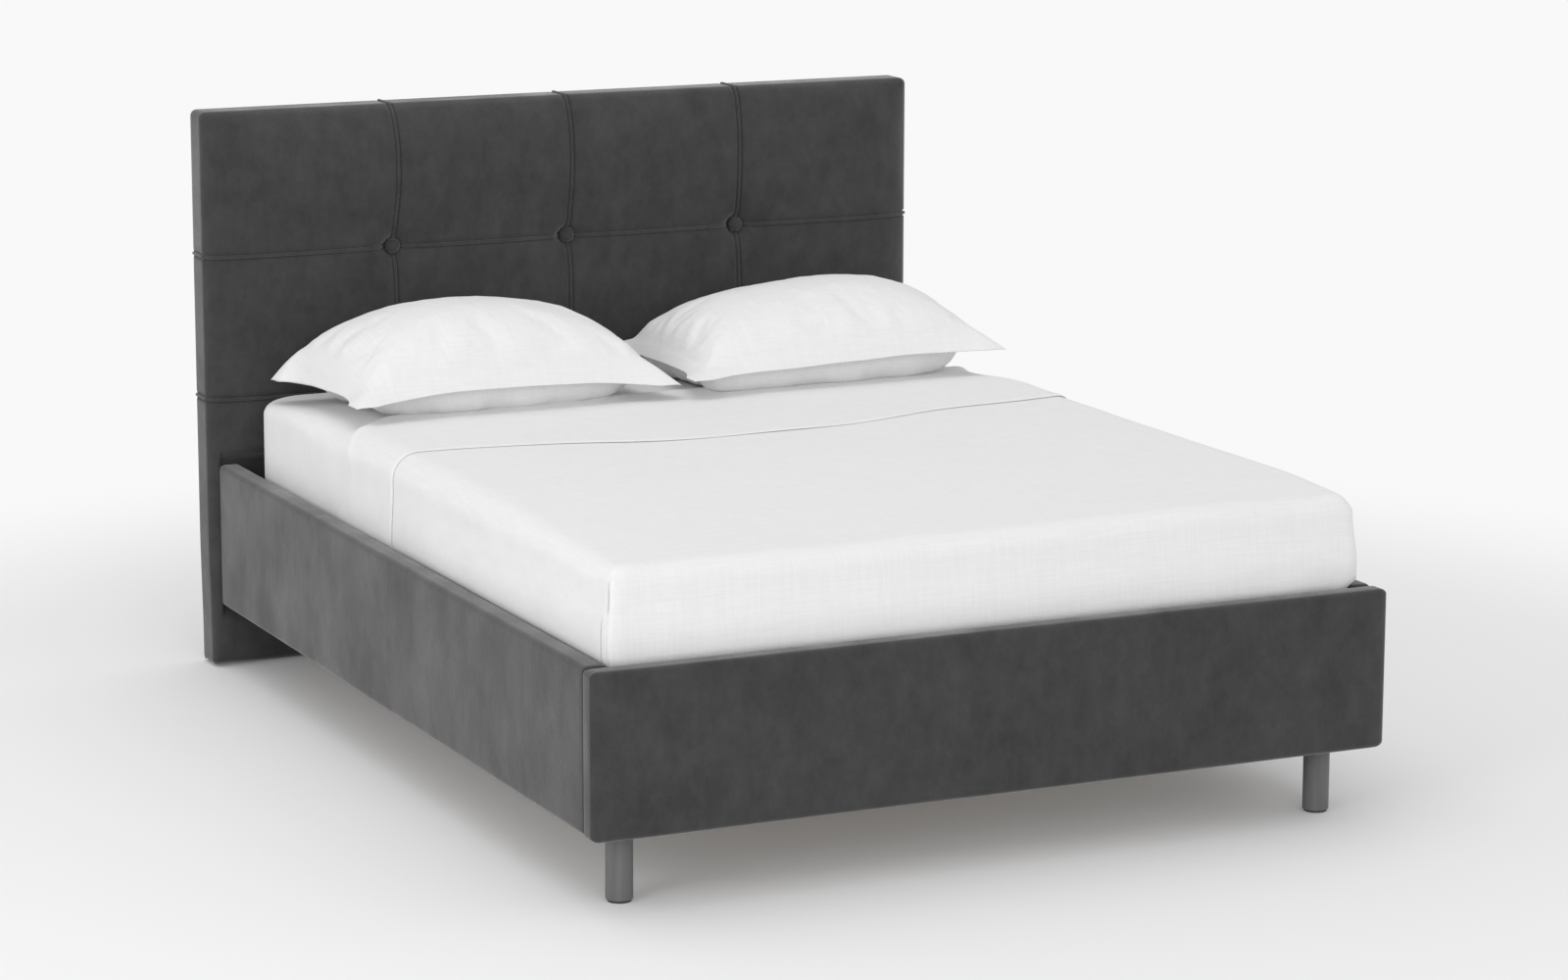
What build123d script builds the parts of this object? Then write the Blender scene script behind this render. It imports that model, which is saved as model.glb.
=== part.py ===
from build123d import *
import math
import os

# An upholstered double bed in millimetres: tufted headboard, padded rails, slatted base and bedding.
# The origin is on the floor in the middle of the bed's outline. +Y points to the head end and +Z points up.

os.makedirs("parts", exist_ok=True)

# Mattress, and the gaps that the frame leaves round it
MATTRESS_WIDTH = 1500
MATTRESS_LENGTH = 1980
MATTRESS_HEIGHT = 230
MATTRESS_COVER_T = 3
MATTRESS_TOP_RADIUS = 35
MATTRESS_BOTTOM_RADIUS = 18
HEAD_CORNER_RADIUS = 90
FOOT_CORNER_RADIUS = 45
SIDE_GAP = 8
FOOT_GAP = 8
HEAD_CLEAR = 9

# Upholstery: velvet skin, foam and the gap left between soft layers
COVER_T = 1.5
COVER_RETURN = 25
FOAM_T = 15
TOP_PAD = 8
SOFT_GAP = 0.3

# Side rails and foot panel
BOARD_T = 32
PANEL_HEIGHT = 310
PANEL_GROUND = 135
PANEL_EDGE_RADIUS = 13

# Headboard, from its back cloth to its front plane
HEADBOARD_OVERHANG = 17
HEADBOARD_TOP = 1195
BACK_CLOTH_T = 1
BACK_CLOTH_MARGIN = 12
POST_T = 26
POST_WIDTH = 110
BATTEN_HEIGHT = 90
FACE_BOARD_T = 8
HEADBOARD_FOAM_T = 40
HEADBOARD_RETURN = 40
SIDE_PAD = 6
GLIDE_HEIGHT = 4

# Headboard padding: four columns, three rows, three tufts
COLUMNS = 4
ROW_HEIGHT = 305.5
FLAT_ABOVE_RAIL = 25
PANEL_CREST = 29
HIGH_SEAM_CREST = 22
LOW_SEAM_CREST = 8
COLUMN_SEAM_DROP = 7
EDGE_CREST_SHARE = 0.15
EDGE_RADIUS = 22
SHOULDER_ROUNDING = 1.1
EDGE_RUN = 32
EDGE_RISE = 7
TUFT_DEPTH = 8
TUFT_REACH = 120
TUFT_WAIST = 45
TUFT_WAIST_DEPTH = -14
TUFT_RIM = 6
BUTTON_RADIUS = 16
BUTTON_HEIGHT = 10
BUTTON_RIM = 5
TWINE_RADIUS = 1.2
TOGGLE_RADIUS = 7
TOGGLE_T = 4

# Slatted base
SLAT_COUNT = 12
SLAT_WIDTH = 90
SLAT_T = 18
SLAT_END_CLEAR = 3
SLAT_FIRST_GAP = 40
SLAT_RECESS = 65
LEDGE_WIDTH = 30
LEDGE_HEIGHT = 40
LEDGE_END_CLEAR = 3
BEAM_WIDTH = 45
BEAM_HEIGHT = 70
BEAM_END_CLEAR = 1

# Steel brackets
PLATE_T = 4
LEG_PLATE_MARGIN = 19
BRACKET_BELOW_LEDGE = 12
HEAD_BRACKET_ARM = 60
HEAD_BRACKET_HEIGHT = 140
BEAM_PLATE_MARGIN = 9
BEAM_SHELF = 50
BOLT_FROM_CORNER = 52
HEAD_BOLT_FROM_CORNER = 35
BOLT_END_DISTANCE = 40
BEAM_BOLT_FROM_BEAM = 14

# Fasteners
BOLT_RADIUS = 4
BOLT_HEAD_RADIUS = 6.5
BOLT_HEAD_T = 5
INSERT_RADIUS = 6
INSERT_LENGTH = 18
SCREW_RADIUS = 2.25
SCREW_HEAD_RADIUS = 4.5
SCREW_HEAD_T = 3
SCREW_LENGTH = 50
SCREWS_PER_LEDGE = 5
SCREW_END_DISTANCE = 90
LEG_BOLT_RADIUS = 5
LEG_BOLT_HEAD_RADIUS = 8
LEG_BOLT_LENGTH = 40
BOLT_CLEAR = 0.3
PRESS_CLEAR = 0.1

# Legs
LEG_RADIUS = 25
LEG_CLEAR_X = 11
LEG_CLEAR_Y = 23
LEG_ABOVE_PANEL_BOTTOM = 5
LEG_EDGE_RADIUS = 2
GLIDE_INSET = 3
GLIDE_PIN_RADIUS = 2.5
GLIDE_PIN_LENGTH = 12
HEADBOARD_GLIDE_RADIUS = 11
HEADBOARD_GLIDE_INSET = 80
CENTRE_LEG_RADIUS = 19
CENTRE_STUD_RADIUS = 5
CENTRE_STUD_LENGTH = 30

# Bed linen
LINEN_T = 1
LINEN_HEM_CLEAR = 2
FOLD_FROM_HEAD = 461
TURN_BACK = 445
CORNER_FOLD_WIDTH = 40

# Pillows, each as its flat width and depth, with a flat border round it
PILLOW_WIDTH = 640
PILLOW_DEPTH = 440
PILLOW_CREST = 162
PILLOW_BELLY = 78
PILLOW_SEAM_HEIGHT = 48
PILLOW_END_T = 8
PILLOW_DRAWN_IN = 14
PILLOW_CASE_T = 2.5
BORDER = 50
BORDER_T = 3
BORDER_DRAWN_IN = 16
BORDER_CORNER_RADIUS = 10
PILLOW_STATIONS = (-1, -0.88, -0.55, 0, 0.55, 0.88, 1)
PILLOW_CROWN_POWER = 0.75
PILLOW_END_POWER = 2.4
PILLOW_MEETING_X = 20
PILLOW_GAP = 12
PILLOW_HEAD_GAPS = {"left": 29, "right": 39}
PILLOW_TURNS = {"left": 3, "right": 0}

# Outline of the bed, worked out from the sizes above
PANEL_T = COVER_T + BOARD_T + FOAM_T + COVER_T
HEAD_GAP = PANEL_CREST + HEAD_CLEAR
HEADBOARD_T = BACK_CLOTH_T + COVER_T + POST_T + FACE_BOARD_T + HEADBOARD_FOAM_T + COVER_T
BED_LENGTH = PANEL_T + FOOT_GAP + MATTRESS_LENGTH + HEAD_GAP + HEADBOARD_T
FRONT_Y = -BED_LENGTH / 2
BACK_Y = BED_LENGTH / 2
FOOT_INSIDE = FRONT_Y + PANEL_T
HEADBOARD_FRONT = BACK_Y - HEADBOARD_T
RAIL_INSIDE = MATTRESS_WIDTH / 2 + SIDE_GAP
RAIL_OUTSIDE = RAIL_INSIDE + PANEL_T
HEADBOARD_WIDTH = 2 * (RAIL_OUTSIDE + HEADBOARD_OVERHANG)
PANEL_TOP = PANEL_GROUND + PANEL_HEIGHT
BOARD_FACE_X = RAIL_INSIDE + COVER_T
BOARD_FACE_Y = FOOT_INSIDE - COVER_T
SLAT_TOP = PANEL_TOP - SLAT_RECESS
SLAT_BOTTOM = SLAT_TOP - SLAT_T
LEDGE_BOTTOM = SLAT_BOTTOM - LEDGE_HEIGHT
BEAM_BOTTOM = SLAT_BOTTOM - BEAM_HEIGHT
MATTRESS_TOP = SLAT_TOP + MATTRESS_HEIGHT
MATTRESS_FOOT = FOOT_INSIDE + FOOT_GAP
MATTRESS_MIDDLE = MATTRESS_FOOT + MATTRESS_LENGTH / 2
MATTRESS_HEAD = MATTRESS_FOOT + MATTRESS_LENGTH

# Headboard layers along Y, and its hidden frame
COVER_BACK = BACK_Y - BACK_CLOTH_T
POST_BACK = COVER_BACK - COVER_T
POST_FRONT = POST_BACK - POST_T
FACE_BOARD_FRONT = POST_FRONT - FACE_BOARD_T
HEADBOARD_BOTTOM = GLIDE_HEIGHT
FRAME_HALF = HEADBOARD_WIDTH / 2 - COVER_T - SIDE_PAD
FRAME_TOP = HEADBOARD_TOP - COVER_T - SIDE_PAD
FRAME_BOTTOM = HEADBOARD_BOTTOM + COVER_T
POST_INSIDE = FRAME_HALF - POST_WIDTH
COLUMN_WIDTH = HEADBOARD_WIDTH / COLUMNS
SEAM_HIGH = HEADBOARD_TOP - ROW_HEIGHT
SEAM_LOW = SEAM_HIGH - ROW_HEIGHT
FLAT_TOP = PANEL_TOP + FLAT_ABOVE_RAIL
TUFT_XS = [(column + 1) * COLUMN_WIDTH - HEADBOARD_WIDTH / 2 for column in range(COLUMNS - 1)]
TUFT_SEAT = HEADBOARD_FRONT + TUFT_DEPTH

# Places of the fasteners
SIDES = {"left": -1, "right": 1}
AXIS_TURN = {"X": (0, 90, 0), "Y": (90, 0, 0), "Z": (0, 0, 0)}
LEG_IN_X = LEG_RADIUS + LEG_CLEAR_X
LEG_IN_Y = LEG_RADIUS + LEG_CLEAR_Y
FOOT_BRACKET_X = LEG_IN_X + LEG_RADIUS + LEG_PLATE_MARGIN
FOOT_BRACKET_Y = LEG_IN_Y + LEG_RADIUS + LEG_PLATE_MARGIN
FOOT_BRACKET_BOTTOM = PANEL_GROUND + LEG_ABOVE_PANEL_BOTTOM
FOOT_BRACKET_TOP = LEDGE_BOTTOM - BRACKET_BELOW_LEDGE
HEAD_BRACKET_TOP = LEDGE_BOTTOM - BRACKET_BELOW_LEDGE
HEAD_BRACKET_BOTTOM = HEAD_BRACKET_TOP - HEAD_BRACKET_HEIGHT
FOOT_BOLT_ZS = [FOOT_BRACKET_BOTTOM + BOLT_END_DISTANCE, FOOT_BRACKET_TOP - BOLT_END_DISTANCE]
HEAD_BOLT_ZS = [HEAD_BRACKET_BOTTOM + BOLT_END_DISTANCE, HEAD_BRACKET_TOP - BOLT_END_DISTANCE]
RAIL_BOLT_YZ = [(FOOT_INSIDE + BOLT_FROM_CORNER, z) for z in FOOT_BOLT_ZS]
RAIL_BOLT_YZ += [(HEADBOARD_FRONT - HEAD_BOLT_FROM_CORNER, z) for z in HEAD_BOLT_ZS]
BEAM_BOLT_Z = SLAT_BOTTOM - BEAM_HEIGHT / 2
BEAM_BOLT_X = BEAM_WIDTH / 2 + BEAM_BOLT_FROM_BEAM
BEAM_PLATE_WIDTH = 2 * (BEAM_BOLT_X + BOLT_HEAD_RADIUS + BEAM_PLATE_MARGIN)
BEAM_BOLT_XZ = [(side * BEAM_BOLT_X, BEAM_BOLT_Z) for side in SIDES.values()]
FOOT_BOLT_X = RAIL_INSIDE - BOLT_FROM_CORNER
FOOT_BOLT_XZ = [(side * FOOT_BOLT_X, z) for side in SIDES.values() for z in FOOT_BOLT_ZS]
FOOT_BOLT_XZ += BEAM_BOLT_XZ
HEAD_BOLT_X = RAIL_INSIDE - HEAD_BOLT_FROM_CORNER
HEAD_BOLT_XZ = [(side * HEAD_BOLT_X, z) for side in SIDES.values() for z in HEAD_BOLT_ZS]
BEAM_MIDDLE_Y = (FOOT_INSIDE + HEADBOARD_FRONT) / 2
LEDGE_INSET = COVER_RETURN + LEDGE_END_CLEAR
LEDGE_ENDS = (FOOT_INSIDE + LEDGE_INSET, HEADBOARD_FRONT - LEDGE_INSET)
SCREW_SPAN = LEDGE_ENDS[1] - LEDGE_ENDS[0] - 2 * SCREW_END_DISTANCE
SCREW_YS = [
    LEDGE_ENDS[0] + SCREW_END_DISTANCE + place * SCREW_SPAN / (SCREWS_PER_LEDGE - 1)
    for place in range(SCREWS_PER_LEDGE)
]
SCREW_Z = SLAT_BOTTOM - LEDGE_HEIGHT / 2
LEDGE_INSIDE = BOARD_FACE_X - LEDGE_WIDTH
LEG_XY = [(side * (RAIL_INSIDE - LEG_IN_X), FOOT_INSIDE + LEG_IN_Y) for side in SIDES.values()]
HEADBOARD_GLIDE_XY = [
    (side * (HEADBOARD_WIDTH / 2 - HEADBOARD_GLIDE_INSET), (POST_FRONT + POST_BACK) / 2)
    for side in SIDES.values()
]

# Linen layers, each as its distance outside the mattress, and the turned-back stretch of the top sheet
FITTED_IN = SOFT_GAP
FITTED_OUT = FITTED_IN + LINEN_T
TOP_SHEET_IN = FITTED_OUT + SOFT_GAP
TOP_SHEET_OUT = TOP_SHEET_IN + LINEN_T
TURN_BACK_IN = TOP_SHEET_OUT + SOFT_GAP
TURN_BACK_OUT = TURN_BACK_IN + LINEN_T
LINEN_BOTTOM = SLAT_TOP + MATTRESS_BOTTOM_RADIUS + LINEN_HEM_CLEAR
CORNER_FOLD_TOP = MATTRESS_TOP - MATTRESS_TOP_RADIUS
FOLD_Y = MATTRESS_HEAD - FOLD_FROM_HEAD
HEM_Y = FOLD_Y - TURN_BACK

# Pillows side by side at the head end, each as its middle and its turn
PILLOW_BASE = MATTRESS_TOP + FITTED_OUT
BORDER_HALF_X = PILLOW_WIDTH / 2 + BORDER
BORDER_HALF_Y = PILLOW_DEPTH / 2 + BORDER
PILLOW_PLACES = {
    side_name: (
        PILLOW_MEETING_X + side * (BORDER_HALF_X + PILLOW_GAP),
        MATTRESS_HEAD - PILLOW_HEAD_GAPS[side_name] - BORDER_HALF_Y,
        PILLOW_TURNS[side_name],
    )
    for side_name, side in SIDES.items()
}


def finish(builder, label):
    """Names a finished piece and writes its file."""
    builder.part.label = label
    export_step(builder.part, f"parts/{label}.step")


def block(x, y, z, mode=Mode.ADD):
    """A box between two limits on each axis, given in either order."""
    middle = [(limits[0] + limits[1]) / 2 for limits in (x, y, z)]
    with Locations(tuple(middle)):
        Box(abs(x[1] - x[0]), abs(y[1] - y[0]), abs(z[1] - z[0]), mode=mode)


def rods(points, axis, radius, length, mode=Mode.ADD):
    """Round bars of one size along one axis, centred on the points."""
    with Locations(*[Location(point, AXIS_TURN[axis]) for point in points]):
        Cylinder(radius, length, mode=mode)


def rods_from(points, axis, sense, radius, length, mode=Mode.ADD):
    """Round bars that start at the points and run along one axis, forwards or backwards."""
    step = {"X": (1, 0, 0), "Y": (0, 1, 0), "Z": (0, 0, 1)}[axis]
    half = sense * length / 2
    centres = [tuple(p + half * s for p, s in zip(point, step)) for point in points]
    rods(centres, axis, radius, length, mode)


# Headboard padding: lofts across each column, trimmed to the rounded plan and hollowed at the tufts
def headboard_section(x, crest_share, inset):
    """Side view of the padding at one x, from its flat foot over two crowned rows to the rounded top."""
    front = HEADBOARD_FRONT + inset
    top = HEADBOARD_TOP - inset
    bottom = HEADBOARD_BOTTOM + inset
    back = COVER_BACK - inset
    crown = front - PANEL_CREST * crest_share
    high_seam = front - HIGH_SEAM_CREST * crest_share
    low_seam = front - LOW_SEAM_CREST * crest_share
    shoulder = (front - EDGE_RISE * crest_share, top - EDGE_RADIUS)
    with BuildSketch(Plane.YZ.offset(x)) as section:
        with BuildLine():
            Polyline((front, FLAT_TOP), (front, bottom), (back, bottom), (back, top))
            Line((back, top), (front + EDGE_RADIUS, top))
            RadiusArc((front + EDGE_RADIUS, top), shoulder, -EDGE_RADIUS * SHOULDER_ROUNDING)
            ThreePointArc(shoulder, (crown, (SEAM_HIGH + HEADBOARD_TOP) / 2), (high_seam, SEAM_HIGH))
            ThreePointArc((high_seam, SEAM_HIGH), (crown, (SEAM_LOW + SEAM_HIGH) / 2), (low_seam, SEAM_LOW))
            Line((low_seam, SEAM_LOW), (front, FLAT_TOP))
        make_face()
    return section.sketch


def tuft_funnel(x, inset):
    """The trumpet-shaped hollow that a button pulls into the padding."""
    front = HEADBOARD_FRONT + inset
    seat = front + TUFT_DEPTH
    far = front - 3 * PANEL_CREST
    rim = (x + TUFT_REACH, front - PANEL_CREST - TUFT_RIM)
    with BuildPart() as funnel:
        with BuildSketch(Plane.XY.offset(SEAM_HIGH)):
            with BuildLine():
                Line((x, seat), (x + BUTTON_RADIUS, seat))
                ThreePointArc((x + BUTTON_RADIUS, seat), (x + TUFT_WAIST, front + TUFT_WAIST_DEPTH), rim)
                Polyline(rim, (x + TUFT_REACH, far), (x, far), (x, seat))
            make_face()
        revolve(axis=Axis((x, 0, SEAM_HIGH), (0, 1, 0)))
    return funnel.part


def headboard_form(inset):
    """The padded outside of the headboard, moved inwards by the inset."""
    half = HEADBOARD_WIDTH / 2 - inset
    front = HEADBOARD_FRONT + inset
    far = front - 3 * PANEL_CREST
    behind = BACK_Y + HEADBOARD_T
    seam_share = 1 - COLUMN_SEAM_DROP / PANEL_CREST
    with BuildPart() as form:
        for column in range(COLUMNS):
            start = column * COLUMN_WIDTH - HEADBOARD_WIDTH / 2
            end = start + COLUMN_WIDTH
            start_share = EDGE_CREST_SHARE if column == 0 else seam_share
            end_share = EDGE_CREST_SHARE if column == COLUMNS - 1 else seam_share
            stations = [(start, start_share), ((start + end) / 2, 1), (end, end_share)]
            loft(sections=[headboard_section(x, share, inset) for x, share in stations])
        with BuildSketch():
            with BuildLine():
                shoulder = (half - EDGE_RUN, front - EDGE_RISE)
                Polyline((0, behind), (half, behind), (half, front + EDGE_RADIUS))
                TangentArc((half, front + EDGE_RADIUS), shoulder, tangent=(0, -1))
                Polyline(shoulder, (half - 2 * EDGE_RUN, far), (0, far))
                mirror(about=Plane.YZ)
            make_face()
        extrude(amount=2 * HEADBOARD_TOP, both=True, mode=Mode.INTERSECT)
        for x in TUFT_XS:
            add(tuft_funnel(x, inset), mode=Mode.SUBTRACT)
    return form.part


def headboard_holes(radius_bolt, radius_twine):
    """Holes through the padding for the long bolts and the button twines."""
    bolts = [(x, HEADBOARD_FRONT, z) for x, z in HEAD_BOLT_XZ + BEAM_BOLT_XZ]
    rods(bolts, "Y", radius_bolt, 2 * HEADBOARD_T, Mode.SUBTRACT)
    twines = [(x, HEADBOARD_FRONT, SEAM_HIGH) for x in TUFT_XS]
    rods(twines, "Y", radius_twine, 2 * HEADBOARD_T, Mode.SUBTRACT)


# Headboard cover: a velvet skin open at the back, turned in over the frame
with BuildPart() as headboard_cover:
    add(headboard_form(0))
    add(headboard_form(COVER_T), mode=Mode.SUBTRACT)
    block(
        (HEADBOARD_RETURN - HEADBOARD_WIDTH / 2, HEADBOARD_WIDTH / 2 - HEADBOARD_RETURN),
        (POST_BACK - COVER_T, BACK_Y),
        (HEADBOARD_BOTTOM + HEADBOARD_RETURN, HEADBOARD_TOP - HEADBOARD_RETURN),
        Mode.SUBTRACT,
    )
    headboard_holes(BOLT_RADIUS + BOLT_CLEAR, TWINE_RADIUS + BOLT_CLEAR)
    glide_holes = [(x, y, HEADBOARD_BOTTOM) for x, y in HEADBOARD_GLIDE_XY]
    rods(glide_holes, "Z", GLIDE_PIN_RADIUS + PRESS_CLEAR, 4 * COVER_T, Mode.SUBTRACT)
finish(headboard_cover, "headboard_cover")

# Headboard foam: fills the cover in front of the face board and wraps the edges of the frame
with BuildPart() as headboard_foam:
    add(headboard_form(COVER_T + SOFT_GAP))
    block(
        (-FRAME_HALF, FRAME_HALF),
        (FACE_BOARD_FRONT, BACK_Y),
        (0, FRAME_TOP),
        Mode.SUBTRACT,
    )
    headboard_holes(BOLT_RADIUS + BOLT_CLEAR, TWINE_RADIUS + BOLT_CLEAR)
finish(headboard_foam, "headboard_foam")

# Face board behind the foam
with BuildPart() as face_board:
    block((-FRAME_HALF, FRAME_HALF), (FACE_BOARD_FRONT, POST_FRONT), (FRAME_BOTTOM, FRAME_TOP))
    headboard_holes(BOLT_RADIUS + BOLT_CLEAR, TWINE_RADIUS + BOLT_CLEAR)
finish(face_board, "headboard_face_board")

# Posts, each with sockets for two threaded inserts and for its glide's pin
for side_name, side in SIDES.items():
    with BuildPart() as post:
        block((side * POST_INSIDE, side * FRAME_HALF), (POST_FRONT, POST_BACK), (FRAME_BOTTOM, FRAME_TOP))
        sockets = [(side * HEAD_BOLT_X, POST_FRONT, z) for z in HEAD_BOLT_ZS]
        rods_from(sockets, "Y", 1, INSERT_RADIUS + PRESS_CLEAR, INSERT_LENGTH, Mode.SUBTRACT)
        pins = [(x, y, HEADBOARD_BOTTOM) for x, y in HEADBOARD_GLIDE_XY]
        rods_from(pins, "Z", 1, GLIDE_PIN_RADIUS + PRESS_CLEAR, GLIDE_PIN_LENGTH, Mode.SUBTRACT)
    finish(post, f"headboard_post_{side_name}")

# Cross rails between the posts; the middle one takes the centre beam's bolts
CROSS_RAILS = {
    "bottom": FRAME_BOTTOM + BATTEN_HEIGHT / 2,
    "middle": BEAM_BOLT_Z,
    "top": FRAME_TOP - BATTEN_HEIGHT / 2,
}
for rail_name, rail_z in CROSS_RAILS.items():
    with BuildPart() as cross_rail:
        block(
            (-POST_INSIDE, POST_INSIDE),
            (POST_FRONT, POST_BACK),
            (rail_z - BATTEN_HEIGHT / 2, rail_z + BATTEN_HEIGHT / 2),
        )
        sockets = [(x, POST_FRONT, z) for x, z in BEAM_BOLT_XZ]
        rods_from(sockets, "Y", 1, INSERT_RADIUS + PRESS_CLEAR, INSERT_LENGTH, Mode.SUBTRACT)
    finish(cross_rail, f"headboard_{rail_name}_rail")

# Back cloth, stapled over the turned-in edges of the cover
with BuildPart() as back_cloth:
    cloth_half = HEADBOARD_WIDTH / 2 - BACK_CLOTH_MARGIN
    cloth_z = (HEADBOARD_BOTTOM + BACK_CLOTH_MARGIN, HEADBOARD_TOP - BACK_CLOTH_MARGIN)
    block((-cloth_half, cloth_half), (COVER_BACK, BACK_Y), cloth_z)
finish(back_cloth, "headboard_back_cloth")

# Covered buttons, each a shallow dome on a rim, seated in its tuft
BUTTON_DOME = BUTTON_HEIGHT - BUTTON_RIM
DOME_RADIUS = (BUTTON_RADIUS**2 + BUTTON_DOME**2) / (2 * BUTTON_DOME)
DOME_HALFWAY = DOME_RADIUS - math.sqrt(DOME_RADIUS**2 - BUTTON_RADIUS**2 / 4)
with BuildPart() as buttons:
    for x in TUFT_XS:
        crown_y = TUFT_SEAT - BUTTON_HEIGHT
        rim = (x + BUTTON_RADIUS, TUFT_SEAT - BUTTON_RIM)
        with BuildSketch(Plane.XY.offset(SEAM_HIGH)):
            with BuildLine():
                Polyline((x, crown_y), (x, TUFT_SEAT), (x + BUTTON_RADIUS, TUFT_SEAT), rim)
                ThreePointArc(rim, (x + BUTTON_RADIUS / 2, crown_y + DOME_HALFWAY), (x, crown_y))
            make_face()
        revolve(axis=Axis((x, 0, SEAM_HIGH), (0, 1, 0)))
finish(buttons, "headboard_buttons")

# Button twines, each tied to a toggle behind the face board
with BuildPart() as twines:
    twine_starts = [(x, TUFT_SEAT, SEAM_HIGH) for x in TUFT_XS]
    rods_from(twine_starts, "Y", 1, TWINE_RADIUS, POST_FRONT + TOGGLE_T - TUFT_SEAT)
    toggle_starts = [(x, POST_FRONT, SEAM_HIGH) for x in TUFT_XS]
    rods_from(toggle_starts, "Y", 1, TOGGLE_RADIUS, TOGGLE_T)
finish(twines, "button_twines")

# Headboard glides: plastic discs pinned up into the posts
with BuildPart() as headboard_glides:
    floor_points = [(x, y, 0) for x, y in HEADBOARD_GLIDE_XY]
    rods_from(floor_points, "Z", 1, HEADBOARD_GLIDE_RADIUS, GLIDE_HEIGHT)
    rods_from(floor_points, "Z", 1, GLIDE_PIN_RADIUS, GLIDE_HEIGHT + GLIDE_PIN_LENGTH - PRESS_CLEAR)
finish(headboard_glides, "headboard_glides")


# Upholstered panels: a rounded velvet skin, foam on the outside and the top, and a board on the inside
def panel_form(x, y, z, inset):
    """The rounded outside of a padded panel, moved inwards by the inset."""
    with BuildPart() as form:
        block(
            (min(x) + inset, max(x) - inset),
            (min(y) + inset, max(y) - inset),
            (min(z) + inset, max(z) - inset),
        )
        fillet(form.edges(), PANEL_EDGE_RADIUS - inset)
    return form.part


PANEL_Z = (PANEL_GROUND, PANEL_TOP)
BOARD_Z = (0, PANEL_TOP - COVER_T - TOP_PAD)
WINDOW_Z = (PANEL_GROUND + COVER_RETURN, PANEL_TOP - COVER_RETURN)
RAIL_Y = (FOOT_INSIDE, HEADBOARD_FRONT)
RAIL_WINDOW_Y = (FOOT_INSIDE + COVER_RETURN, HEADBOARD_FRONT - COVER_RETURN)

for side_name, side in SIDES.items():
    rail_x = (side * RAIL_INSIDE, side * RAIL_OUTSIDE)
    board_x = (side * BOARD_FACE_X, side * (BOARD_FACE_X + BOARD_T))
    window_x = (side * (RAIL_INSIDE - COVER_T), side * BOARD_FACE_X)

    with BuildPart() as rail_cover:
        add(panel_form(rail_x, RAIL_Y, PANEL_Z, 0))
        add(panel_form(rail_x, RAIL_Y, PANEL_Z, COVER_T), mode=Mode.SUBTRACT)
        block(window_x, RAIL_WINDOW_Y, WINDOW_Z, Mode.SUBTRACT)
    finish(rail_cover, f"{side_name}_rail_cover")

    with BuildPart() as rail_foam:
        add(panel_form(rail_x, RAIL_Y, PANEL_Z, COVER_T + SOFT_GAP))
        block((0, side * (BOARD_FACE_X + BOARD_T)), RAIL_Y, BOARD_Z, Mode.SUBTRACT)
    finish(rail_foam, f"{side_name}_rail_foam")

    with BuildPart() as rail_board:
        add(panel_form(rail_x, RAIL_Y, PANEL_Z, COVER_T))
        block(board_x, RAIL_Y, BOARD_Z, Mode.INTERSECT)
        sockets = [(side * BOARD_FACE_X, y, z) for y, z in RAIL_BOLT_YZ]
        rods_from(sockets, "X", side, INSERT_RADIUS + PRESS_CLEAR, INSERT_LENGTH, Mode.SUBTRACT)
        pilots = [(side * LEDGE_INSIDE, y, SCREW_Z) for y in SCREW_YS]
        rods_from(pilots, "X", side, SCREW_RADIUS + PRESS_CLEAR, SCREW_LENGTH, Mode.SUBTRACT)
    finish(rail_board, f"{side_name}_rail_board")

FOOT_X = (-RAIL_OUTSIDE, RAIL_OUTSIDE)
FOOT_Y = (FRONT_Y, FOOT_INSIDE)

with BuildPart() as foot_cover:
    add(panel_form(FOOT_X, FOOT_Y, PANEL_Z, 0))
    add(panel_form(FOOT_X, FOOT_Y, PANEL_Z, COVER_T), mode=Mode.SUBTRACT)
    foot_window_half = RAIL_OUTSIDE - COVER_RETURN
    foot_window_y = (BOARD_FACE_Y, FOOT_INSIDE + COVER_T)
    block((-foot_window_half, foot_window_half), foot_window_y, WINDOW_Z, Mode.SUBTRACT)
finish(foot_cover, "foot_panel_cover")

with BuildPart() as foot_foam:
    add(panel_form(FOOT_X, FOOT_Y, PANEL_Z, COVER_T + SOFT_GAP))
    block(FOOT_X, (BOARD_FACE_Y - BOARD_T, FOOT_INSIDE), BOARD_Z, Mode.SUBTRACT)
finish(foot_foam, "foot_panel_foam")

with BuildPart() as foot_board:
    add(panel_form(FOOT_X, FOOT_Y, PANEL_Z, COVER_T))
    block(FOOT_X, (BOARD_FACE_Y - BOARD_T, BOARD_FACE_Y), BOARD_Z, Mode.INTERSECT)
    sockets = [(x, BOARD_FACE_Y, z) for x, z in FOOT_BOLT_XZ]
    rods_from(sockets, "Y", -1, INSERT_RADIUS + PRESS_CLEAR, INSERT_LENGTH, Mode.SUBTRACT)
finish(foot_board, "foot_panel_board")

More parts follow.
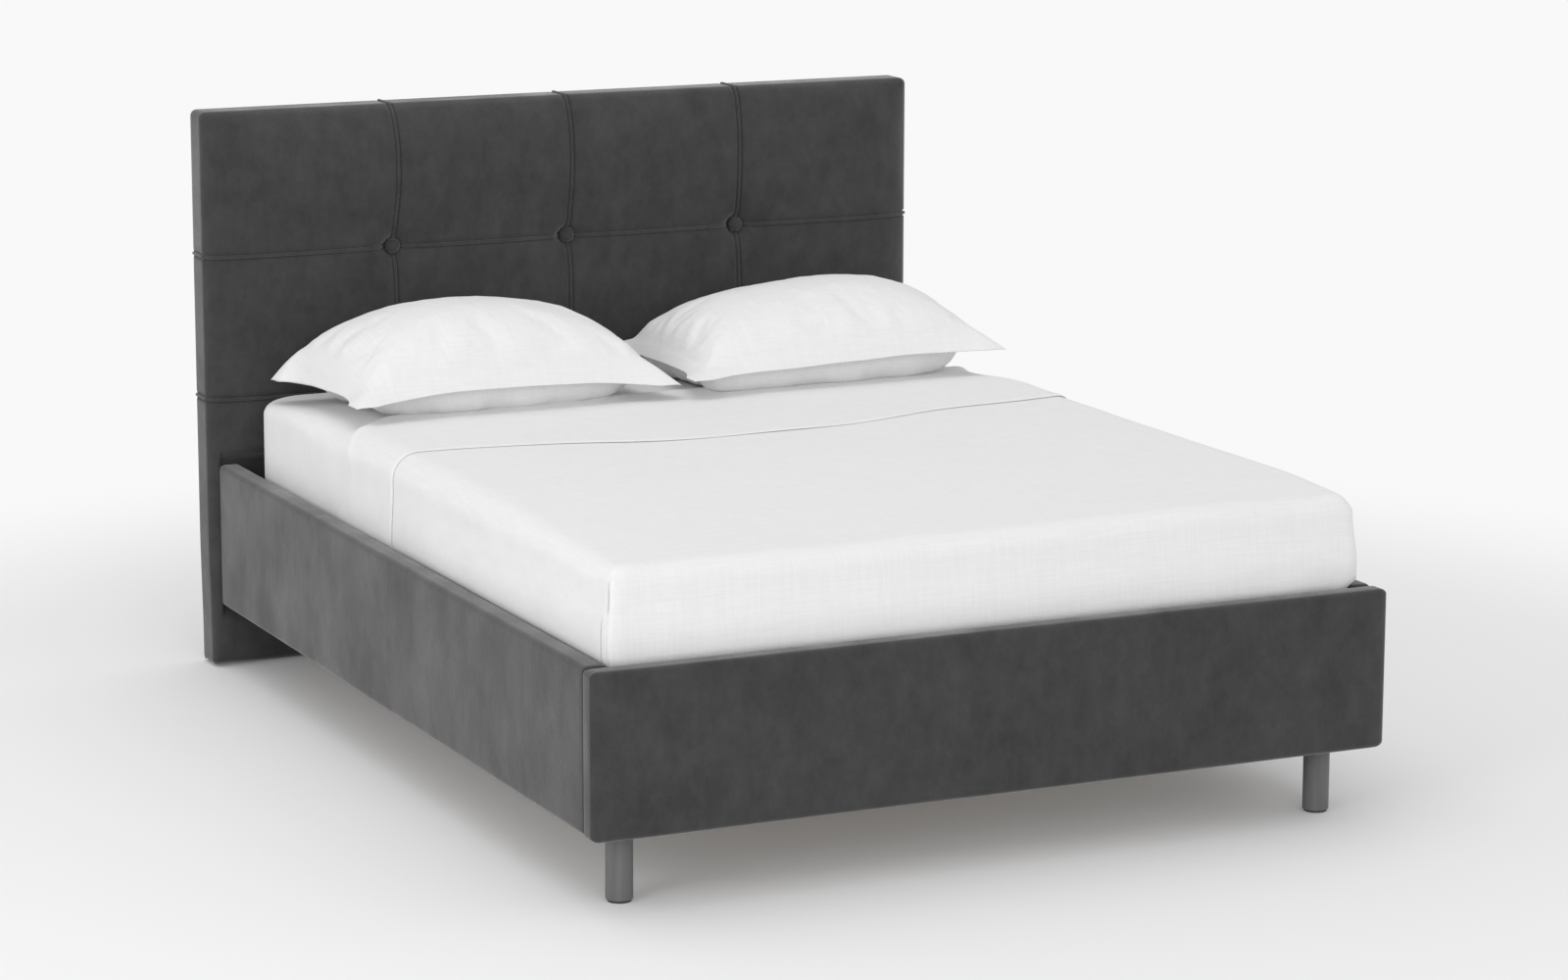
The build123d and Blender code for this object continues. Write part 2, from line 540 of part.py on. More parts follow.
# Corner brackets of bent and welded steel plate
for side_name, side in SIDES.items():
    corner_x = side * RAIL_INSIDE
    plate_x = side * (RAIL_INSIDE - PLATE_T)

    with BuildPart() as head_bracket:
        arm_x = side * (RAIL_INSIDE - HEAD_BRACKET_ARM)
        arm_y = HEADBOARD_FRONT - HEAD_BRACKET_ARM
        plate_y = HEADBOARD_FRONT - PLATE_T
        height = (HEAD_BRACKET_BOTTOM, HEAD_BRACKET_TOP)
        block((corner_x, arm_x), (HEADBOARD_FRONT, arm_y), height)
        block((plate_x, arm_x), (plate_y, arm_y), height, Mode.SUBTRACT)
        head_holes = [(side * HEAD_BOLT_X, HEADBOARD_FRONT, z) for z in HEAD_BOLT_ZS]
        rods(head_holes, "Y", BOLT_RADIUS + BOLT_CLEAR, 3 * PLATE_T, Mode.SUBTRACT)
        rail_holes = [(corner_x, HEADBOARD_FRONT - HEAD_BOLT_FROM_CORNER, z) for z in HEAD_BOLT_ZS]
        rods(rail_holes, "X", BOLT_RADIUS + BOLT_CLEAR, 3 * PLATE_T, Mode.SUBTRACT)
    finish(head_bracket, f"head_bracket_{side_name}")

    with BuildPart() as foot_bracket:
        arm_x = side * (RAIL_INSIDE - FOOT_BRACKET_X)
        arm_y = FOOT_INSIDE + FOOT_BRACKET_Y
        plate_y = FOOT_INSIDE + PLATE_T
        plate_z = FOOT_BRACKET_BOTTOM + PLATE_T
        block((corner_x, arm_x), (FOOT_INSIDE, arm_y), (FOOT_BRACKET_BOTTOM, FOOT_BRACKET_TOP))
        block((plate_x, arm_x), (plate_y, arm_y), (plate_z, FOOT_BRACKET_TOP), Mode.SUBTRACT)
        foot_holes = [(side * FOOT_BOLT_X, FOOT_INSIDE, z) for z in FOOT_BOLT_ZS]
        rods(foot_holes, "Y", BOLT_RADIUS + BOLT_CLEAR, 3 * PLATE_T, Mode.SUBTRACT)
        rail_holes = [(corner_x, FOOT_INSIDE + BOLT_FROM_CORNER, z) for z in FOOT_BOLT_ZS]
        rods(rail_holes, "X", BOLT_RADIUS + BOLT_CLEAR, 3 * PLATE_T, Mode.SUBTRACT)
        leg_holes = [(x, y, FOOT_BRACKET_BOTTOM) for x, y in LEG_XY]
        rods(leg_holes, "Z", LEG_BOLT_RADIUS + BOLT_CLEAR, 3 * PLATE_T, Mode.SUBTRACT)
    finish(foot_bracket, f"foot_bracket_{side_name}")


# Bolts, screws and threaded inserts
def bolts(seats, axis, sense, length):
    """Bolts whose heads sit on the seats and whose shanks run along one axis."""
    rods_from(seats, axis, -sense, BOLT_HEAD_RADIUS, BOLT_HEAD_T)
    rods_from(seats, axis, sense, BOLT_RADIUS, length)


SHORT_BOLT = PLATE_T + COVER_T + INSERT_LENGTH - PLATE_T / 2
LONG_BOLT = PLATE_T + POST_FRONT - HEADBOARD_FRONT + INSERT_LENGTH - PLATE_T / 2

with BuildPart() as bracket_bolts:
    for side in SIDES.values():
        bolts([(side * (RAIL_INSIDE - PLATE_T), y, z) for y, z in RAIL_BOLT_YZ], "X", side, SHORT_BOLT)
    bolts([(x, FOOT_INSIDE + PLATE_T, z) for x, z in FOOT_BOLT_XZ], "Y", -1, SHORT_BOLT)
finish(bracket_bolts, "bracket_bolts")

with BuildPart() as headboard_bolts:
    bolts([(x, HEADBOARD_FRONT - PLATE_T, z) for x, z in HEAD_BOLT_XZ + BEAM_BOLT_XZ], "Y", 1, LONG_BOLT)
finish(headboard_bolts, "headboard_bolts")

with BuildPart() as threaded_inserts:
    insert_bore = BOLT_RADIUS + PRESS_CLEAR
    for side in SIDES.values():
        rail_seats = [(side * BOARD_FACE_X, y, z) for y, z in RAIL_BOLT_YZ]
        rods_from(rail_seats, "X", side, INSERT_RADIUS, INSERT_LENGTH)
        rods_from(rail_seats, "X", side, insert_bore, INSERT_LENGTH, Mode.SUBTRACT)
    foot_seats = [(x, BOARD_FACE_Y, z) for x, z in FOOT_BOLT_XZ]
    rods_from(foot_seats, "Y", -1, INSERT_RADIUS, INSERT_LENGTH)
    rods_from(foot_seats, "Y", -1, insert_bore, INSERT_LENGTH, Mode.SUBTRACT)
    head_seats = [(x, POST_FRONT, z) for x, z in HEAD_BOLT_XZ + BEAM_BOLT_XZ]
    rods_from(head_seats, "Y", 1, INSERT_RADIUS, INSERT_LENGTH)
    rods_from(head_seats, "Y", 1, insert_bore, INSERT_LENGTH, Mode.SUBTRACT)
finish(threaded_inserts, "threaded_inserts")

# Ledges that carry the slats, screwed to the rail boards
for side_name, side in SIDES.items():
    with BuildPart() as ledge:
        block((side * BOARD_FACE_X, side * LEDGE_INSIDE), LEDGE_ENDS, (LEDGE_BOTTOM, SLAT_BOTTOM))
        screw_heads = [(side * LEDGE_INSIDE, y, SCREW_Z) for y in SCREW_YS]
        rods_from(screw_heads, "X", side, SCREW_RADIUS + PRESS_CLEAR, LEDGE_WIDTH, Mode.SUBTRACT)
        rods_from(screw_heads, "X", side, SCREW_HEAD_RADIUS + PRESS_CLEAR, SCREW_HEAD_T, Mode.SUBTRACT)
    finish(ledge, f"slat_ledge_{side_name}")

with BuildPart() as ledge_screws:
    for side in SIDES.values():
        screw_heads = [(side * LEDGE_INSIDE, y, SCREW_Z) for y in SCREW_YS]
        rods_from(screw_heads, "X", side, SCREW_RADIUS, SCREW_LENGTH)
        rods_from(screw_heads, "X", side, SCREW_HEAD_RADIUS, SCREW_HEAD_T)
finish(ledge_screws, "ledge_screws")

# Slats across the ledges and the beam
SLAT_HALF = RAIL_INSIDE - SLAT_END_CLEAR
SLAT_START = FOOT_INSIDE + SLAT_FIRST_GAP
SLAT_PITCH = (HEADBOARD_FRONT - FOOT_INSIDE - 2 * SLAT_FIRST_GAP - SLAT_WIDTH) / (SLAT_COUNT - 1)
for number in range(SLAT_COUNT):
    slat_y = SLAT_START + number * SLAT_PITCH
    with BuildPart() as slat:
        block((-SLAT_HALF, SLAT_HALF), (slat_y, slat_y + SLAT_WIDTH), (SLAT_BOTTOM, SLAT_TOP))
    finish(slat, f"slat_{number + 1:02d}")

# Centre beam, resting on the shelves of its two brackets
with BuildPart() as centre_beam:
    beam_y = (FOOT_INSIDE + PLATE_T + BEAM_END_CLEAR, HEADBOARD_FRONT - PLATE_T - BEAM_END_CLEAR)
    block((-BEAM_WIDTH / 2, BEAM_WIDTH / 2), beam_y, (BEAM_BOTTOM, SLAT_BOTTOM))
    stud_hole = [(0, BEAM_MIDDLE_Y, BEAM_BOTTOM)]
    rods_from(stud_hole, "Z", 1, CENTRE_STUD_RADIUS + PRESS_CLEAR, CENTRE_STUD_LENGTH, Mode.SUBTRACT)
finish(centre_beam, "centre_beam")

BEAM_BRACKETS = {"foot": (FOOT_INSIDE, 1), "head": (HEADBOARD_FRONT, -1)}
for end_name, (wall_y, inwards) in BEAM_BRACKETS.items():
    with BuildPart() as beam_bracket:
        plate_y = wall_y + inwards * PLATE_T
        shelf_y = plate_y + inwards * BEAM_SHELF
        shelf_bottom = BEAM_BOTTOM - PLATE_T
        block((-BEAM_PLATE_WIDTH / 2, BEAM_PLATE_WIDTH / 2), (wall_y, plate_y), (shelf_bottom, SLAT_BOTTOM))
        block((-BEAM_WIDTH / 2, BEAM_WIDTH / 2), (plate_y, shelf_y), (shelf_bottom, BEAM_BOTTOM))
        holes = [(x, wall_y, z) for x, z in BEAM_BOLT_XZ]
        rods(holes, "Y", BOLT_RADIUS + BOLT_CLEAR, 3 * PLATE_T, Mode.SUBTRACT)
    finish(beam_bracket, f"beam_bracket_{end_name}")

with BuildPart() as centre_leg:
    leg_foot = [(0, BEAM_MIDDLE_Y, GLIDE_HEIGHT)]
    rods_from(leg_foot, "Z", 1, CENTRE_LEG_RADIUS, BEAM_BOTTOM - GLIDE_HEIGHT)
    stud_start = [(0, BEAM_MIDDLE_Y, BEAM_BOTTOM)]
    rods_from(stud_start, "Z", 1, CENTRE_STUD_RADIUS, CENTRE_STUD_LENGTH - PRESS_CLEAR)
    rods_from(leg_foot, "Z", 1, GLIDE_PIN_RADIUS + PRESS_CLEAR, GLIDE_PIN_LENGTH, Mode.SUBTRACT)
finish(centre_leg, "centre_leg")

# Front legs: turned cylinders bolted up to the foot brackets
for (side_name, side), (leg_x, leg_y) in zip(SIDES.items(), LEG_XY):
    with BuildPart() as front_leg:
        leg_foot = [(leg_x, leg_y, GLIDE_HEIGHT)]
        rods_from(leg_foot, "Z", 1, LEG_RADIUS, FOOT_BRACKET_BOTTOM - GLIDE_HEIGHT)
        fillet(front_leg.edges().filter_by(GeomType.CIRCLE), LEG_EDGE_RADIUS)
        rods_from(leg_foot, "Z", 1, GLIDE_PIN_RADIUS + PRESS_CLEAR, GLIDE_PIN_LENGTH, Mode.SUBTRACT)
        leg_head = [(leg_x, leg_y, FOOT_BRACKET_BOTTOM)]
        rods_from(leg_head, "Z", -1, LEG_BOLT_RADIUS + PRESS_CLEAR, LEG_BOLT_LENGTH, Mode.SUBTRACT)
    finish(front_leg, f"front_leg_{side_name}")

with BuildPart() as leg_bolts:
    leg_bolt_seats = [(x, y, FOOT_BRACKET_BOTTOM + PLATE_T) for x, y in LEG_XY]
    rods_from(leg_bolt_seats, "Z", 1, LEG_BOLT_HEAD_RADIUS, BOLT_HEAD_T)
    rods_from(leg_bolt_seats, "Z", -1, LEG_BOLT_RADIUS, LEG_BOLT_LENGTH)
finish(leg_bolts, "leg_bolts")

with BuildPart() as leg_glides:
    front_floor = [(x, y, 0) for x, y in LEG_XY]
    centre_floor = [(0, BEAM_MIDDLE_Y, 0)]
    rods_from(front_floor, "Z", 1, LEG_RADIUS - GLIDE_INSET, GLIDE_HEIGHT)
    rods_from(centre_floor, "Z", 1, CENTRE_LEG_RADIUS - GLIDE_INSET, GLIDE_HEIGHT)
    pin_length = GLIDE_HEIGHT + GLIDE_PIN_LENGTH - PRESS_CLEAR
    rods_from(front_floor + centre_floor, "Z", 1, GLIDE_PIN_RADIUS, pin_length)
finish(leg_glides, "leg_glides")


# Mattress and linen share one rounded plan, which grows or shrinks layer by layer
def mattress_form(grow, bottom, bottom_radius):
    """The mattress shape, grown outwards, from one height up to its top."""
    with BuildPart() as form:
        with BuildSketch(Plane.XY.offset(bottom)) as plan:
            with Locations((0, MATTRESS_MIDDLE)):
                Rectangle(MATTRESS_WIDTH + 2 * grow, MATTRESS_LENGTH + 2 * grow)
            fillet(plan.vertices().group_by(Axis.Y)[-1], HEAD_CORNER_RADIUS + grow)
            fillet(plan.vertices().group_by(Axis.Y)[0], FOOT_CORNER_RADIUS + grow)
        extrude(amount=MATTRESS_TOP + grow - bottom)
        fillet(form.faces().sort_by(Axis.Z)[-1].edges(), MATTRESS_TOP_RADIUS + grow)
        if bottom_radius:
            fillet(form.faces().sort_by(Axis.Z)[0].edges(), bottom_radius)
    return form.part


def mattress_block(inset):
    """The whole mattress, top and bottom edges rounded, moved inwards by the inset."""
    return mattress_form(-inset, SLAT_TOP + inset, MATTRESS_BOTTOM_RADIUS - inset)


with BuildPart() as mattress_cover:
    add(mattress_block(0))
    add(mattress_block(MATTRESS_COVER_T), mode=Mode.SUBTRACT)
finish(mattress_cover, "mattress_cover")

with BuildPart() as mattress_core:
    add(mattress_block(MATTRESS_COVER_T + SOFT_GAP))
finish(mattress_core, "mattress_core")


def linen_layer(inside, outside, y_range, z_top):
    """A sheet of cloth over the mattress between two layers, over part of its length and height."""
    with BuildPart() as layer:
        add(mattress_form(outside, LINEN_BOTTOM, 0))
        add(mattress_form(inside, LINEN_BOTTOM, 0), mode=Mode.SUBTRACT)
        block((-MATTRESS_WIDTH, MATTRESS_WIDTH), y_range, (LINEN_BOTTOM, z_top), Mode.INTERSECT)
    return layer.part


WHOLE_Y = (FRONT_Y, BACK_Y)

with BuildPart() as fitted_sheet:
    add(linen_layer(FITTED_IN, FITTED_OUT, WHOLE_Y, HEADBOARD_TOP))
finish(fitted_sheet, "fitted_sheet")


# Top sheet: tucked in, turned back over itself at the head end, and doubled at the folded foot corners
def corner_fold(side):
    """The doubled cloth of one foot corner, from the end of the mattress round to its side."""
    corner_x = side * (MATTRESS_WIDTH / 2 - FOOT_CORNER_RADIUS)
    fold_y = (FRONT_Y, MATTRESS_FOOT + CORNER_FOLD_WIDTH)
    with BuildPart() as fold:
        add(linen_layer(TOP_SHEET_IN, TURN_BACK_OUT, fold_y, CORNER_FOLD_TOP))
        block((corner_x, side * RAIL_OUTSIDE), WHOLE_Y, (0, HEADBOARD_TOP), Mode.INTERSECT)
    return fold.part


with BuildPart() as top_sheet:
    add(linen_layer(TOP_SHEET_IN, TOP_SHEET_OUT, (FRONT_Y, FOLD_Y), HEADBOARD_TOP))
    add(linen_layer(TURN_BACK_IN, TURN_BACK_OUT, (HEM_Y, FOLD_Y), HEADBOARD_TOP))
    add(linen_layer(TOP_SHEET_IN, TURN_BACK_OUT, (FOLD_Y - LINEN_T, FOLD_Y), HEADBOARD_TOP))
    for side in SIDES.values():
        add(corner_fold(side))
finish(top_sheet, "top_sheet")


# Pillows: lens-shaped lofts, flat where they rest, in cases with a flat border
def pillow_plane(place, along):
    """The upright plane across a pillow at one distance along it, its x axis along the pillow's depth."""
    x, y, turn = place
    lengthwise = Vector(math.cos(math.radians(turn)), math.sin(math.radians(turn)), 0)
    origin = Vector(x, y, PILLOW_BASE) + lengthwise * along
    return Plane(origin=origin, x_dir=Vector(0, 0, 1).cross(lengthwise), z_dir=lengthwise)


def pillow_section(place, station, inset):
    """A lens of two arcs across the pillow: fullest halfway along, thin at the ends, with drawn-in sides."""
    fullness = (1 - abs(station) ** PILLOW_END_POWER) ** PILLOW_CROWN_POWER
    half_depth = PILLOW_DEPTH / 2 - PILLOW_DRAWN_IN * (1 - station**2) - 2 * inset
    crest = PILLOW_SEAM_HEIGHT + PILLOW_END_T / 2 + PILLOW_CREST * fullness - inset
    belly = PILLOW_SEAM_HEIGHT - PILLOW_END_T / 2 - PILLOW_BELLY * fullness + inset
    along = station * (PILLOW_WIDTH / 2 - 2 * inset)
    with BuildSketch(pillow_plane(place, along)) as section:
        with BuildLine():
            ThreePointArc((-half_depth, PILLOW_SEAM_HEIGHT), (0, crest), (half_depth, PILLOW_SEAM_HEIGHT))
            ThreePointArc((half_depth, PILLOW_SEAM_HEIGHT), (0, belly), (-half_depth, PILLOW_SEAM_HEIGHT))
        make_face()
    return section.sketch


def pillow_form(place, inset):
    """The stuffed shape of a pillow, moved inwards by the inset, flat underneath."""
    with BuildPart() as form:
        loft(sections=[pillow_section(place, station, inset) for station in PILLOW_STATIONS])
        split(bisect_by=Plane.XY.offset(PILLOW_BASE + inset), keep=Keep.TOP)
    return form.part


BORDER_CORNERS = [(x * BORDER_HALF_X, y * BORDER_HALF_Y) for x, y in ((-1, -1), (1, -1), (1, 1), (-1, 1))]
BORDER_MIDDLES = [
    (x * (BORDER_HALF_X - BORDER_DRAWN_IN), y * (BORDER_HALF_Y - BORDER_DRAWN_IN))
    for x, y in ((0, -1), (1, 0), (0, 1), (-1, 0))
]
BORDER_SIDES = list(zip(BORDER_CORNERS, BORDER_MIDDLES, BORDER_CORNERS[1:] + BORDER_CORNERS[:1]))

for side_name, place in PILLOW_PLACES.items():
    level = PILLOW_BASE + PILLOW_SEAM_HEIGHT - BORDER_T / 2
    border_plane = Plane(origin=(place[0], place[1], level)).rotated((0, 0, place[2]))

    with BuildPart() as pillow_case:
        add(pillow_form(place, 0))
        with BuildSketch(border_plane) as border:
            with BuildLine():
                for corner, middle, following in BORDER_SIDES:
                    ThreePointArc(corner, middle, following)
            make_face()
            fillet(border.vertices(), BORDER_CORNER_RADIUS)
        extrude(amount=BORDER_T)
        add(pillow_form(place, PILLOW_CASE_T), mode=Mode.SUBTRACT)
    finish(pillow_case, f"pillow_{side_name}_case")

    with BuildPart() as pillow_fill:
        add(pillow_form(place, PILLOW_CASE_T + SOFT_GAP))
    finish(pillow_fill, f"pillow_{side_name}_fill")
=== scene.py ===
"""A double bed with a tufted velvet headboard, made up with white sheets and two bordered pillows."""

import math

import bmesh
import bpy
import numpy as np
from mathutils import Matrix, Vector


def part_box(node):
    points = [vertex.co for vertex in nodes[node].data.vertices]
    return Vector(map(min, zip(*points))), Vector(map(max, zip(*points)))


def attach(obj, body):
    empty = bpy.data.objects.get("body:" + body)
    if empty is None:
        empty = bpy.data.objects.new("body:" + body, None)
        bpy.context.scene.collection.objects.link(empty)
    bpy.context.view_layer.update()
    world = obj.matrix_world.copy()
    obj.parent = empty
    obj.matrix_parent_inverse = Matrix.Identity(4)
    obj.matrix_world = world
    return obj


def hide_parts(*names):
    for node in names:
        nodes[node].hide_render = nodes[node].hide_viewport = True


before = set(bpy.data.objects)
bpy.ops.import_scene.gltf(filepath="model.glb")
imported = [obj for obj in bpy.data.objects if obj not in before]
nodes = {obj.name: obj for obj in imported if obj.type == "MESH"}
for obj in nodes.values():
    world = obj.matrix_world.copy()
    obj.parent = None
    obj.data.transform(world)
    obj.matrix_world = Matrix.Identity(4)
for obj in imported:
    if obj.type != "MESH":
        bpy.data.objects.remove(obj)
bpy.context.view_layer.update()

# View
# The bed is seen from the left of its foot end, a little above the mattress, through a long lens.
# The angles, place and lens come from the straight edges of the bed in the photograph.
scene = bpy.context.scene
scene.view_settings.view_transform = "Standard"
AZIMUTH, ELEVATION, ROLL = (math.radians(angle) for angle in (-25.159, 11.415, 0.126))
CAMERA_PLACE = Vector((-3.79194, -8.20043, 2.32829))
camera_back = Vector((
    math.sin(AZIMUTH) * math.cos(ELEVATION),
    -math.cos(AZIMUTH) * math.cos(ELEVATION),
    math.sin(ELEVATION),
))
level_right = Vector((math.cos(AZIMUTH), math.sin(AZIMUTH), 0))
level_up = camera_back.cross(level_right)
camera_right = math.cos(ROLL) * level_right + math.sin(ROLL) * level_up
camera_up = math.cos(ROLL) * level_up - math.sin(ROLL) * level_right
camera_turn = Matrix((camera_right, camera_up, camera_back)).transposed()
lens = bpy.data.cameras.new("camera")
lens.sensor_fit = "HORIZONTAL"
lens.sensor_width = 36.0
lens.lens = 105.174
camera = bpy.data.objects.new("camera", lens)
camera.matrix_world = Matrix.Translation(CAMERA_PLACE) @ camera_turn.to_4x4()
scene.collection.objects.link(camera)
scene.camera = camera

# Studio
# A pale floor fades into a white backdrop. One wide soft lamp hangs above, one stands on the left
# and one far in front. The white is only what the camera sees: the lamps light the bed at a plain level.
WHITE, BACKDROP_WHITE, SKY_STRENGTH = (1, 1, 1, 1), 0.945, 0.72
FLOOR_COLOUR, FLOOR_ROUGHNESS, FLOOR_GLOSS = (0.91, 0.91, 0.915), 0.9, 0.1
# The last number is the share of painted white glow on the floor near the bed, which lightens the bed's
# shadows there.
FLOOR_HALF, FLOOR_NEAR, FLOOR_FAR, FLOOR_SHADOW_GLOW = 30.0, 1.75, 3.1, 0.1


def feed(receiver, inputs):
    """Sets a node's inputs, each to a value or to another node's output."""
    for name, source in inputs.items():
        if isinstance(source, bpy.types.NodeSocket):
            receiver.id_data.links.new(source, receiver.inputs[name])
        else:
            receiver.inputs[name].default_value = source


def node(tree, kind, inputs=None, **settings):
    """A new node with those inputs and settings."""
    made = tree.nodes.new(kind)
    for name, setting in settings.items():
        setattr(made, name, setting)
    feed(made, inputs or {})
    return made


def backdrop_rays(tree):
    """1 for rays that see the backdrop, straight or in a mirror or glass; 0 for those that light the bed."""
    path = node(tree, "ShaderNodeLightPath").outputs
    seen = path["Is Camera Ray"]
    for kind in ("Is Glossy Ray", "Is Transmission Ray"):
        seen = node(tree, "ShaderNodeMath", {0: seen, 1: path[kind]}, operation="MAXIMUM").outputs[0]
    return seen


def plain_finish(name, colour, roughness):
    """A material of one plain colour, with its node tree and its shader for more detail."""
    material = bpy.data.materials.new(name)
    material.use_nodes = True
    tree = material.node_tree
    shader = tree.nodes["Principled BSDF"]
    feed(shader, {"Base Color": (*colour, 1), "Roughness": roughness})
    return material, tree, shader


world = bpy.data.worlds.new("studio")
scene.world = world
world.use_nodes = True
sky = world.node_tree
sky_light = sky.nodes["Background"]
feed(sky_light, {"Color": WHITE, "Strength": SKY_STRENGTH})
sky_seen = node(sky, "ShaderNodeBackground", {"Color": WHITE, "Strength": BACKDROP_WHITE})
sky_parts = {0: backdrop_rays(sky), 1: sky_light.outputs[0], 2: sky_seen.outputs[0]}
feed(sky.nodes["World Output"], {"Surface": node(sky, "ShaderNodeMixShader", sky_parts).outputs[0]})

floor_mesh = bpy.data.meshes.new("floor")
floor_corners = ((-1, -1), (1, -1), (1, 1), (-1, 1))
floor_mesh.from_pydata([(x * FLOOR_HALF, y * FLOOR_HALF, 0) for x, y in floor_corners], [], [(0, 1, 2, 3)])
floor = bpy.data.objects.new("floor", floor_mesh)
scene.collection.objects.link(floor)
floor_paint, tree, shader = plain_finish("floor_paint", FLOOR_COLOUR, FLOOR_ROUGHNESS)
feed(shader, {"Specular IOR Level": FLOOR_GLOSS})
place = node(tree, "ShaderNodeTexCoord").outputs["Object"]
reach = node(tree, "ShaderNodeVectorMath", {0: place}, operation="LENGTH").outputs["Value"]
# Near the bed the camera sees a small share of painted white glow in the floor, which lightens the bed's
# shadows on it; farther off it fades into the white backdrop.
fading = {"Value": reach, "From Min": FLOOR_NEAR, "From Max": FLOOR_FAR, "To Min": FLOOR_SHADOW_GLOW}
fade = node(tree, "ShaderNodeMapRange", fading, interpolation_type="SMOOTHSTEP").outputs["Result"]
white = node(tree, "ShaderNodeEmission", {"Strength": BACKDROP_WHITE})
share = node(tree, "ShaderNodeMath", {0: backdrop_rays(tree), 1: fade}, operation="MULTIPLY").outputs[0]
sweep = node(tree, "ShaderNodeMixShader", {0: share, 1: shader.outputs[0], 2: white.outputs[0]})
feed(tree.nodes["Material Output"], {"Surface": sweep.outputs[0]})
floor_mesh.materials.append(floor_paint)


def softbox(name, place, target, size, power):
    """A square lamp of that size, turned from its place to the target."""
    lamp = bpy.data.lights.new(name, "AREA")
    lamp.size = size
    lamp.energy = power
    stand = bpy.data.objects.new(name, lamp)
    aim = (Vector(target) - Vector(place)).to_track_quat("-Z", "Y")
    stand.matrix_world = Matrix.Translation(place) @ aim.to_matrix().to_4x4()
    scene.collection.objects.link(stand)


softbox("top_lamp", (-1.2, 0.6, 6.5), (0, 0, 0.4), 4.0, 63.0)
softbox("left_lamp", (-5.2, -3.3, 2.2), (0, 0, 0.4), 2.5, 66.0)
softbox("front_lamp", (-2.2, -14.0, 5.0), (0, 0, 0.4), 6.0, 310.0)


# Wooden frame
# Planed pine posts, rails, slats and beam, with plywood boards behind the padding and under the rails'
# velvet. Cut square, screwed and glued; the grain runs along each length.
def grain(tree, scale, stretch=(1, 1, 1), detail=3.0, fine=0.5):
    """Noise on the piece's own coordinates, stretched along a direction by a small factor there.

    A larger share of fine spots makes it grainier.
    """
    place = node(tree, "ShaderNodeTexCoord").outputs["Object"]
    stretched = node(tree, "ShaderNodeMapping", {"Vector": place, "Scale": stretch}).outputs["Vector"]
    spots = {"Vector": stretched, "Scale": scale, "Detail": detail, "Roughness": fine}
    return node(tree, "ShaderNodeTexNoise", spots).outputs["Fac"]


def shade_between(tree, value, dark, light, low=0.3, high=0.7):
    """A colour that goes from dark to light as the value goes from low to high."""
    ramp = node(tree, "ShaderNodeValToRGB", {"Fac": value})
    for stop, position, colour in zip(ramp.color_ramp.elements, (low, high), (dark, light)):
        stop.position = position
        stop.color = (*colour, 1)
    return ramp.outputs["Color"]


def relief(shader, height, depth, under=None):
    """A fine surface relief of that depth in metres, on top of another one where given."""
    below = {} if under is None else {"Normal": under}
    inputs = {"Height": height, "Distance": depth, **below}
    bump = node(shader.id_data, "ShaderNodeBump", inputs).outputs["Normal"]
    feed(shader, {"Normal": bump})
    return bump


def wood(name, dark, light, along):
    """Sawn or planed wood whose grain runs along that axis."""
    material, tree, shader = plain_finish(name, light, 0.62)
    stretch = [1.0, 1.0, 1.0]
    stretch[along] = 0.05
    rings = grain(tree, 55.0, stretch, 5.0)
    feed(shader, {"Base Color": shade_between(tree, rings, dark, light)})
    relief(shader, rings, 0.0006)
    return material


def paint_nodes(material, *names):
    """Gives CAD nodes that stay their finished material."""
    for name in names:
        nodes[name].data.materials.clear()
        nodes[name].data.materials.append(material)


PINE_DARK, PINE_LIGHT = (0.52, 0.38, 0.23), (0.74, 0.61, 0.43)
pine_across = wood("pine_across", PINE_DARK, PINE_LIGHT, 0)
pine_lengthways = wood("pine_lengthways", PINE_DARK, PINE_LIGHT, 1)
pine_upright = wood("pine_upright", PINE_DARK, PINE_LIGHT, 2)
plywood = wood("plywood", (0.42, 0.28, 0.15), (0.62, 0.46, 0.28), 0)
SLATS = [f"slat_{count:02d}" for count in range(1, 13)]
paint_nodes(pine_across, "headboard_top_rail", "headboard_middle_rail", "headboard_bottom_rail", *SLATS)
paint_nodes(pine_lengthways, "slat_ledge_left", "slat_ledge_right", "centre_beam")
paint_nodes(pine_upright, "headboard_post_left", "headboard_post_right")
paint_nodes(plywood, "headboard_face_board", "left_rail_board", "right_rail_board", "foot_panel_board")

# Fittings
# Pressed steel corner and beam brackets with black powder coat, zinc-plated bolts, screws and threaded
# inserts, and moulded plastic glides under the legs and the headboard.
powder_coat, tree, shader = plain_finish("powder_coat", (0.028, 0.028, 0.03), 0.5)
relief(shader, grain(tree, 900.0), 0.0003)
ZINC_DARK, ZINC_LIGHT = (0.48, 0.49, 0.51), (0.7, 0.71, 0.73)
zinc_plate, tree, shader = plain_finish("zinc_plate", (0.62, 0.63, 0.65), 0.35)
spangle = shade_between(tree, grain(tree, 140.0), ZINC_DARK, ZINC_LIGHT)
feed(shader, {"Metallic": 1.0, "Base Color": spangle})
glide_plastic, tree, shader = plain_finish("glide_plastic", (0.03, 0.03, 0.031), 0.55)
relief(shader, grain(tree, 600.0), 0.0002)
waxed_twine, tree, shader = plain_finish("waxed_twine", (0.6, 0.57, 0.5), 0.8)
relief(shader, grain(tree, 700.0, (1, 0.3, 1)), 0.0006)
SIDES = ("left", "right")
paint_nodes(powder_coat, *[f"{end}_bracket_{side}" for end in ("head", "foot") for side in SIDES])
paint_nodes(powder_coat, "beam_bracket_foot", "beam_bracket_head")
paint_nodes(zinc_plate, "bracket_bolts", "headboard_bolts", "threaded_inserts", "ledge_screws", "leg_bolts")
paint_nodes(glide_plastic, "headboard_glides", "leg_glides")
paint_nodes(waxed_twine, "button_twines")

